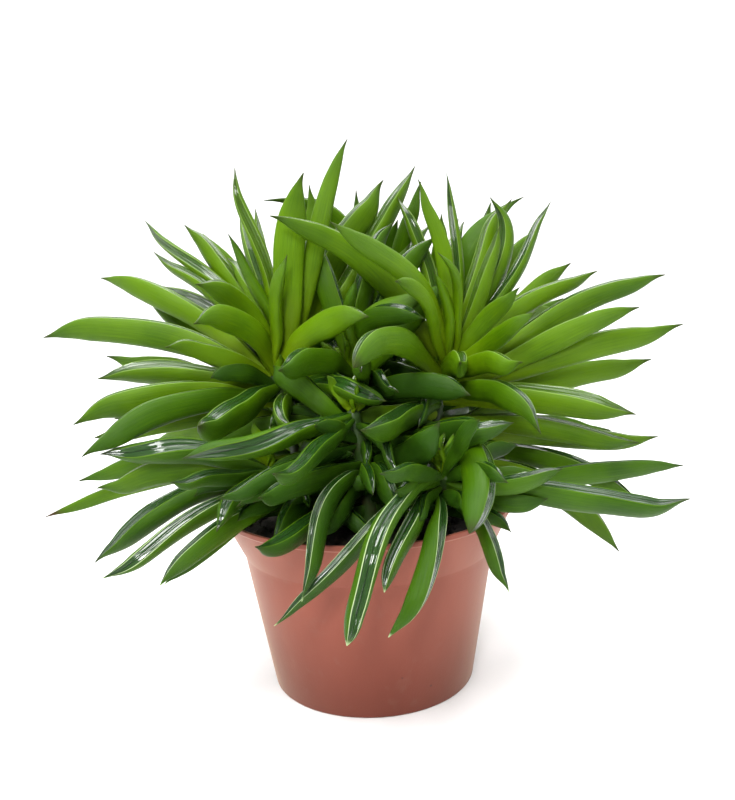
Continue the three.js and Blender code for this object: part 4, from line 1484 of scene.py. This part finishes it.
@dataclass
class LeafyStem:
    """One leafy stem: its tube, its leaves and the small leaves at its crown and along it."""

    name: str
    number: int
    leaves: Foliage
    form: LeafForm = field(default_factory=LeafForm)
    seed: int = 100
    radius: float = 3.4
    foot: float = 49.3
    foot_cap: float = 0.2
    rings: int = 40
    sides: int = 16
    taper: float = 0.15
    joint: float = 0.06
    joint_pace: float = 44.0
    crown_leaves: ShortLeaves = ShortLeaves(
        7, (1, 1), (45, 85), (11, 20), (0, 2), (0, 0.33, 0.68, 1), (0, -1, 0, 0), 0.22, 0.05
    )
    # The leaves along the stem get 0.9, the darkest green, as painted shade deep in the plant.
    inner_leaves: ShortLeaves = ShortLeaves(
        16, (0.2, 0.9), (-15, 30), (30, 42), (2, 6), (0, 0.33, 0.7, 1), (0, 1, 1, -0.5), 0.2, 0.9
    )
    behind: float = 20.0
    behind_lift: Span = (-15, 55)
    first_age: float = 0.12
    age_below: float = 0.25
    hanging_shade: float = 0.25
    age_draw: float = 0.2
    hangs_within: Span = (-30, 130)
    pale_within: Span = (-50, 70)
    dried_tip: Triple = (-134, 4, 72)
    dried_near: float = 4.0

    def kinds(self, leaves: Foliage, rng: np.random.Generator) -> Array:
        """Age with painted shade, paleness of the margin and dryness of each leaf.

        Lower leaves are older. Each stem's painted shade darkens its leaves as if they were older,
        leaves that hang in front of the pot are painted darker as shade too and have frosted margins,
        and the leaf that ends at the dried tip is dry.

        Args:
            leaves: The leaves.
            rng: Seeded draws.

        Returns:
            Three numbers from 0 to 1 for each leaf.
        """
        tip = leaves.points[:, -1]
        hangs, pale = (
            (tip[:, 1] < front) & (tip[:, 2] < top)
            for front, top in (self.hangs_within, self.pale_within)
        )
        # Painted shade: the stem's shade darkens its leaves as if they were older.
        age = self.first_age + self.age_below * (1 - leaves.level) + STEMS[self.name].shade
        # Painted shade: leaves that hang in front of the pot are painted darker.
        age = age + self.hanging_shade * hangs
        age = age + rng.uniform(-self.age_draw, self.age_draw, len(tip))
        dry = np.linalg.norm(tip - np.array(self.dried_tip), axis=1) < self.dried_near
        return np.stack([np.clip(age, 0, 1), pale * 1.0, dry * 1.0], axis=1)

    def tube(self, surface: Surface) -> None:
        """Adds the stem: a round tube from in the soil to the crown, swollen at its joints.

        Its radius is r (1 - taper t) (1 - joint + joint cos² (pace t)).

        Args:
            surface: The mesh being gathered.
        """
        t = np.linspace(0, 1, self.rings)
        centre = stem_point(np.full(self.rings, self.number), t)
        foot = centre[0].copy()
        foot[2] = self.foot
        centre = np.concatenate([[foot], centre])
        level = np.concatenate([[0.0], t])
        joints = 1 - self.joint + self.joint * np.cos(level * self.joint_pace) ** 2
        radius = self.radius * (1 - self.taper * level) * joints
        rings = centre[:, None] + circle(self.sides) * radius[:, None, None]
        top = centre[-1] + [0, 0, self.radius]
        bottom = foot - [0, 0, self.foot_cap]
        points = np.concatenate([[bottom], rings.reshape(-1, 3), [top]])
        faces = tube_faces(1, len(centre), self.sides)
        surface.add(points, faces, np.zeros((len(points), 2)), np.zeros((len(points), 3)), 1)

    def build(self, skins: list[bpy.types.Material]) -> bpy.types.Object:
        """Builds the piece that replaces the stem's node.

        Args:
            skins: Leaf and stem materials.

        Returns:
            The finished object.
        """
        rng = np.random.default_rng(self.seed + self.number)
        surface = Surface()
        self.tube(surface)
        for fine in (True, False):
            leaves = self.leaves.picked(self.leaves.seen == fine)
            self.form.build(surface, leaves, self.kinds(leaves, rng), fine, rng)
        inner = self.inner_leaves
        if STEMS[self.name].foot[1] > self.behind:
            inner = replace(inner, lift=self.behind_lift)
        short = (self.crown_leaves, inner)
        grown = [leaves.grow(self.number, rng) for leaves in short]
        for leaves, extra in zip(short, grown):
            kinds = np.tile([[leaves.age, 0.0, 0.0]], (leaves.count, 1))
            self.form.build(surface, extra, kinds, False, rng)
        made = surface.build("leafy_" + self.name, skins)
        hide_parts(self.name)
        return made


def turned_rings(profile: Array, sides: int) -> Array:
    """Rings of a surface of revolution: (r cos a, r sin a, z).

    Args:
        profile: Radius and height of each ring.
        sides: Points in each ring.

    Returns:
        Points shaped (rings, sides, 3), clockwise seen from above.
    """
    angle = np.arange(sides) * 2 * math.pi / sides
    r, z = profile[:, :1], profile[:, 1:]
    rings = np.stack([r * np.cos(angle), r * np.sin(angle), z + 0 * angle], axis=-1)
    return rings[:, ::-1]


def rounded(profile: Array, cut: Array, steps: int = 5) -> Array:
    """Rounds a profile's corners: each becomes a quadratic curve between points cut away from it.

    Args:
        profile: Points of radius and height; the first and last stay.
        cut: How far from each corner its curve starts, in mm.
        steps: Points in each curve.

    Returns:
        The rounded profile.
    """
    before = unit(profile[:-2] - profile[1:-1]) * cut[1:-1, None]
    after = unit(profile[2:] - profile[1:-1]) * cut[1:-1, None]
    s = np.linspace(0, 1, steps)[None, :, None]
    corner = profile[1:-1][:, None]
    curve = (1 - s) ** 2 * (corner + before[:, None]) + 2 * s * (1 - s) * corner
    curve = curve + s**2 * (corner + after[:, None])
    return np.concatenate([profile[:1], curve.reshape(-1, 2), profile[-1:]])


@dataclass
class PotShell:
    """The tapered nursery pot with its flared band and its drain holes."""

    RIM = 60.0
    HEIGHT = 76.0
    BAND = 51.0
    BAND_Z = 57.0
    BASE = 41.5
    WALL = 1.8
    FLOOR = 2.0
    LIP = 1.2

    sides: int = 160
    hub: float = 12.0
    drain_radius: float = 4.0
    drain_ring: float = 26.0
    drains: int = 6
    drill_sides: int = 32
    drill_ends: Span = (-4.0, 6.0)

    @classmethod
    def radius_at(cls, z: Array) -> Array:
        """Outer radius at a height: a straight taper to the band, then a wider one to the rim.

        Args:
            z: Heights in mm.

        Returns:
            Radii in mm.
        """
        body = cls.BASE + (cls.BAND - cls.BASE) * z / cls.BAND_Z
        band = cls.BAND + (cls.RIM - cls.BAND) * (z - cls.BAND_Z) / (cls.HEIGHT - cls.BAND_Z)
        return np.where(z < cls.BAND_Z, body, band)

    def profile(self) -> Array:
        """The shell's profile, from the underside's centre out, up, over the lip and down inside.

        Returns:
            Radius and height of each point, with rounded corners.
        """
        base, band, rim = self.BASE, self.BAND, self.RIM
        step, top, wall = self.BAND_Z, self.HEIGHT, self.WALL
        # Each row: a corner's radius and height, and how far from it its rounding starts.
        corners = np.array([
            (0, 0, 0),
            (self.hub, 0, 1),
            (base - 3.4, 0, 0.1),
            (base - 3, 0, 0.1),
            (base - 0.1, 0, 0.9),
            (band - 0.2, step - 1.4, 0.3),
            (band + 0.12, step, 0.3),
            (rim - 1.1, top - 2.6, 0.3),
            (rim - 0.1, top - 1.9, 0.3),
            (rim, top, 0.4),
            (rim - self.LIP, top, 0.4),
            (rim - wall - 0.8, top - 1.2, 0.3),
            (band - wall + 0.1, step, 0.6),
            (base - wall + 0.4, self.FLOOR, 1.2),
            (0, self.FLOOR, 0),
        ])
        return rounded(corners[:, :2], corners[:, 2])

    def drilled(self, shell: bpy.types.Object) -> None:
        """Cuts the drain holes through the base with one exact difference, then applies it.

        Args:
            shell: The undrilled shell, changed in place.
        """
        step = np.arange(self.drains) * 2 * math.pi / self.drains
        middle = np.stack([np.cos(step), np.sin(step), 0 * step], axis=1) * self.drain_ring
        ends = np.array([[0, 0, end] for end in self.drill_ends])
        ring = circle(self.drill_sides) * self.drain_radius
        rings = (middle[:, None, None] + ends[None, :, None] + ring).reshape(self.drains, -1, 3)
        poles = middle[:, None] + ends
        points = np.concatenate([poles[:, :1], rings, poles[:, 1:]], axis=1).reshape(-1, 3)
        surface = Surface()
        surface.add_plain(points, tube_faces(self.drains, len(ends), self.drill_sides))
        cutter = surface.build("drain_cutter", [])
        cut = shell.modifiers.new("drains", "BOOLEAN")
        cut.operation, cut.solver, cut.object = "DIFFERENCE", "EXACT", cutter
        graph = bpy.context.evaluated_depsgraph_get()
        mesh = bpy.data.meshes.new_from_object(shell.evaluated_get(graph))
        shell.modifiers.clear()
        shell.data = mesh
        bpy.data.objects.remove(cutter)

    def build(self, finish: PotFinish) -> bpy.types.Object:
        """Builds the shell that replaces the pot's node.

        Args:
            finish: The pot's finish.

        Returns:
            The finished object.
        """
        profile = self.profile()
        rings = turned_rings(profile[1:-1], self.sides)
        poles = np.array([[0, 0, profile[0, 1]], [0, 0, profile[-1, 1]]])
        points = np.concatenate([poles[:1], rings.reshape(-1, 3), poles[1:]])
        surface = Surface()
        surface.add_plain(points, tube_faces(1, len(rings), self.sides))
        made = surface.build("pot_shell", [finish.make()])
        self.drilled(made)
        made.data.shade_smooth()
        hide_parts("pot")
        return made


@dataclass
class SoilBed:
    """The soil plug: a mounded, crumbly top over the plug that fills the pot."""

    LEVEL = 68.0
    MOUND = 3.0
    GAP = 0.3

    seed: int = 7
    sides: int = 144
    rings: int = 56
    edge_inset: float = 1.0
    side_inset: float = 0.4
    hub: float = 0.6
    shoulder: float = 0.55
    shoulder_rise: float = 0.7
    ledge: float = 6.0
    edge_drop: float = 1.0
    waves: int = 40
    wave_paces: Span = (0.12, 2.2)
    wave_fall: float = 0.45
    wave_size: float = 0.28
    rough: float = 0.7
    rough_from_edge: Span = (0.0, 4.0)
    crumbs: int = 420
    crumb_radius: float = 2.0
    crumb_sizes: Span = (0.35, 1.0)
    crumb_stretch: Span = (0.6, 1.3)
    crumb_rough: Span = (0.7, 1.25)
    crumb_spread: Span = (0.05, 1.0)
    crumb_inset: float = 2.5

    def relief(self, x: Array, y: Array, rng: np.random.Generator) -> Array:
        """Uneven height: a sum of sines of random bearing whose size falls as they get finer.

        Args:
            x: Places across in mm.
            y: Places away in mm.
            rng: Seeded draws.

        Returns:
            Heights in mm.
        """
        bearing = rng.uniform(0, 2 * math.pi, self.waves)
        pace = np.geomspace(*self.wave_paces, self.waves)
        phase = rng.uniform(0, 2 * math.pi, self.waves)
        wave = (x[..., None] * np.cos(bearing) + y[..., None] * np.sin(bearing)) * pace + phase
        return np.sum(np.sin(wave) * pace**-self.wave_fall, axis=-1) * self.wave_size

    def top_radius(self) -> float:
        """Radius of the soil's edge at its level inside the pot."""
        return float(PotShell.radius_at(np.array(self.LEVEL))) - PotShell.WALL - self.edge_inset

    def height_at(self, reach: Array) -> Array:
        """Height of the smooth mound at a distance from the axis.

        Args:
            reach: Distances in mm.

        Returns:
            Heights in mm.
        """
        top = self.top_radius()
        shoulder = self.LEVEL + self.MOUND * self.shoulder_rise
        heights = [self.LEVEL + self.MOUND, shoulder, self.LEVEL, self.LEVEL - self.edge_drop]
        return np.interp(reach, [0, top * self.shoulder, top - self.ledge, top], heights)

    def surface(self, rng: np.random.Generator) -> Surface:
        """The closed plug, from below out and up its side, over its edge and in to its top.

        Args:
            rng: Seeded draws.

        Returns:
            The plug's mesh.
        """
        top = self.top_radius()
        reach = np.linspace(top, self.hub, self.rings)
        inset = PotShell.WALL + self.GAP + self.side_inset
        under = np.array([
            [self.hub, PotShell.FLOOR + self.GAP],
            [PotShell.BASE - inset, PotShell.FLOOR + self.GAP],
            [PotShell.BAND - inset, PotShell.BAND_Z],
        ])
        profile = np.concatenate([under, np.stack([reach, self.height_at(reach)], axis=1)])
        rings = turned_rings(profile, self.sides)
        upper = rings[len(under) :]
        uneven = self.relief(upper[..., 0], upper[..., 1], rng) * self.rough
        upper[..., 2] += uneven * eased(top - reach, *self.rough_from_edge)[:, None]
        poles = np.array([[0, 0, PotShell.FLOOR + self.GAP], [0, 0, self.LEVEL + self.MOUND]])
        made = Surface()
        points = np.concatenate([poles[:1], rings.reshape(-1, 3), poles[1:]])
        made.add_plain(points, tube_faces(1, len(rings), self.sides))
        return made

    def scatter(self, surface: Surface, rng: np.random.Generator) -> None:
        """Adds crumbs: twenty-sided lumps pulled out of round by draws, half sunk in the top.

        Args:
            surface: The soil's mesh, added to.
            rng: Seeded draws.
        """
        golden = (1 + math.sqrt(5)) / 2
        pairs = [(-1, golden), (1, golden), (-1, -golden), (1, -golden)]
        flat = [(p, q, 0) for p, q in pairs]
        tall = [(0, p, q) for p, q in pairs]
        deep = [(q, 0, p) for p, q in pairs]
        base = unit(np.array(flat + tall + deep, float))
        corners = np.array([
            [0, 11, 5], [0, 5, 1], [0, 1, 7], [0, 7, 10], [0, 10, 11], [1, 5, 9], [5, 11, 4],
            [11, 10, 2], [10, 7, 6], [7, 1, 8], [3, 9, 4], [3, 4, 2], [3, 2, 6], [3, 6, 8],
            [3, 8, 9], [4, 9, 5], [2, 4, 11], [6, 2, 10], [8, 6, 7], [9, 8, 1],
        ])
        count = self.crumbs
        size = rng.uniform(*self.crumb_sizes, (count, 1, 1)) ** 2 * self.crumb_radius
        stretch = rng.uniform(*self.crumb_stretch, (count, 1, 3))
        pulled = rng.uniform(*self.crumb_rough, (count, len(base), 1))
        lumps = base * pulled * size * stretch
        bearing = rng.uniform(0, 2 * math.pi, count)
        spread = np.sqrt(rng.uniform(*self.crumb_spread, count))
        reach = spread * (self.top_radius() - self.crumb_inset)
        across, away = reach * np.cos(bearing), reach * np.sin(bearing)
        where = np.stack([across, away, self.height_at(reach)], axis=1)
        faces = corners[None] + (np.arange(count) * len(base))[:, None, None]
        surface.add_plain((lumps + where[:, None]).reshape(-1, 3), [faces.reshape(-1, 3)])

    def build(self, finish: SoilFinish) -> bpy.types.Object:
        """Builds the bed that replaces the soil's node.

        Args:
            finish: The soil's finish.

        Returns:
            The finished object.
        """
        rng = np.random.default_rng(self.seed)
        surface = self.surface(rng)
        self.scatter(surface, rng)
        made = surface.build("soil_bed", [finish.make()])
        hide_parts("soil")
        return made


@dataclass(frozen=True)
class Lamp:
    """A square soft light: its place, side and aim in metres and its power in watts."""

    name: str
    place: Triple
    size: float
    power: float
    aim: Triple = (0, 0, 0.12)

    def hang(self) -> None:
        """Adds the light to the scene, turned to its aim."""
        data = bpy.data.lights.new(self.name, "AREA")
        data.shape, data.size, data.energy = "SQUARE", self.size, self.power
        made = bpy.data.objects.new(self.name, data)
        made.location = self.place
        towards = Vector(self.aim) - Vector(self.place)
        made.rotation_euler = towards.to_track_quat("-Z", "Y").to_euler()
        bpy.context.scene.collection.objects.link(made)


@dataclass(frozen=True)
class Studio:
    """The photograph's camera, a pale cove and soft lights.

    The camera's place is in mm, the cove's sizes are in metres and angles are in degrees.
    """

    back: float = 370.0
    height: float = 188.0
    yaw: float = 0.3
    pitch: float = 11.0
    roll: float = -2.5
    focal_px: float = 937.0
    frame_px: tuple[int, int] = (735, 800)
    sensor: float = 36.0
    clip: Span = (0.01, 50.0)
    cove_front: float = -4.0
    cove_foot: float = 1.6
    cove_bend: float = 0.8
    cove_steps: int = 24
    cove_top: float = 4.0
    cove_half: float = 5.0
    sky: float = 0.3
    lamps: tuple[Lamp, ...] = (
        Lamp("key", (-0.3, -0.6, 1.15), 0.45, 14.0),
        Lamp("top", (0.15, 0.15, 1.6), 1.5, 24.0),
        Lamp("strip", (-0.12, -0.85, 0.6), 0.16, 5.4),
        Lamp("fill_right", (1.1, 0.1, 0.6), 0.9, 4.5),
        Lamp("fill_left", (-1.1, 0.1, 0.6), 0.9, 4.5),
        Lamp("wall_wash", (0.0, 0.9, 2.1), 2.4, 60.0, (0.0, 2.4, 0.6)),
    )

    def camera(self) -> None:
        """Stands the camera in front of the pot, looking a little down."""
        yaw, pitch, roll = (math.radians(a) for a in (self.yaw, self.pitch, self.roll))
        flat = math.cos(pitch)
        forward = Vector((math.sin(yaw) * flat, math.cos(yaw) * flat, -math.sin(pitch)))
        right = Vector((math.cos(yaw), -math.sin(yaw), 0))
        up = right.cross(forward)
        across = right * math.cos(roll) + up * math.sin(roll)
        above = up * math.cos(roll) - right * math.sin(roll)
        data = bpy.data.cameras.new("camera")
        data.sensor_width = self.sensor
        data.lens = self.focal_px / max(self.frame_px) * self.sensor
        data.clip_start, data.clip_end = self.clip
        made = bpy.data.objects.new("camera", data)
        turn = Matrix((across, above, -forward)).transposed().to_4x4()
        made.matrix_world = Matrix.Translation((0, -self.back * MM, self.height * MM)) @ turn
        bpy.context.scene.collection.objects.link(made)
        bpy.context.scene.camera = made

    def cove(self, finish: FloorFinish) -> None:
        """A floor that bends up behind into a wall: a profile drawn out sideways.

        Args:
            finish: The floor's finish.
        """
        angle = np.linspace(0, math.pi / 2, self.cove_steps)
        bend = self.cove_bend
        away = self.cove_foot + bend * np.sin(angle)
        curve = np.stack([away, bend - bend * np.cos(angle)], axis=1)
        wall = [[self.cove_foot + bend, self.cove_top]]
        profile = np.concatenate([[[self.cove_front, 0.0]], curve, wall])
        grid = np.empty((len(profile), 2, 3))
        grid[..., 0] = [-self.cove_half, self.cove_half]
        grid[..., 1], grid[..., 2] = profile[:, :1], profile[:, 1:]
        k = np.arange(len(profile) - 1) * 2
        surface = Surface()
        faces = np.stack([k, k + 1, k + 3, k + 2], axis=1)
        surface.add_plain(grid.reshape(-1, 3) / MM, [faces])
        surface.build("pale_cove", [finish.make()])

    def light(self) -> None:
        """Soft light from above and in front, filled in from both sides and by a white sky."""
        for lamp in self.lamps:
            lamp.hang()
        world = bpy.data.worlds.new("soft_white")
        world.use_nodes = True
        background = world.node_tree.nodes["Background"]
        background.inputs["Color"].default_value = (1.0, 1.0, 1.0, 1.0)
        background.inputs["Strength"].default_value = self.sky
        bpy.context.scene.world = world
        bpy.context.scene.view_settings.view_transform = "Standard"


@dataclass
class Peperomia:
    """The plant: all its leafy stems."""

    easing: Easing = field(default_factory=Easing)

    def build(self) -> list[bpy.types.Object]:
        """Grows, eases and builds every leafy stem.

        Returns:
            The finished objects, one a stem.
        """
        leaves = LeafRules.grow()
        self.easing.ease(leaves)
        leaves = self.easing.without_clashes(leaves)
        LOG.info("leaves: %d", len(leaves.stem))
        skins = [LeafFinish().make(), StalkFinish().make()]
        made = []
        for number, name in enumerate(STEMS):
            own = leaves.picked(leaves.stem == number)
            made.append(LeafyStem(name, number, own).build(skins))
        return made


def settle(piece: bpy.types.Object) -> None:
    """Lets a piece ride on the root body and reports it.

    Args:
        piece: The finished piece.
    """
    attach(piece, "root")
    LOG.info("%s: %d faces", piece.name, len(piece.data.polygons))


def main() -> None:
    """Builds the studio, the pot, the soil and the plant."""
    logging.basicConfig(level=logging.INFO, format="%(message)s")
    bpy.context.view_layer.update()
    studio = Studio()
    studio.camera()
    studio.cove(FloorFinish())
    studio.light()
    settle(PotShell().build(PotFinish()))
    settle(SoilBed().build(SoilFinish()))
    for piece in Peperomia().build():
        settle(piece)


if __name__ == "__main__":
    main()
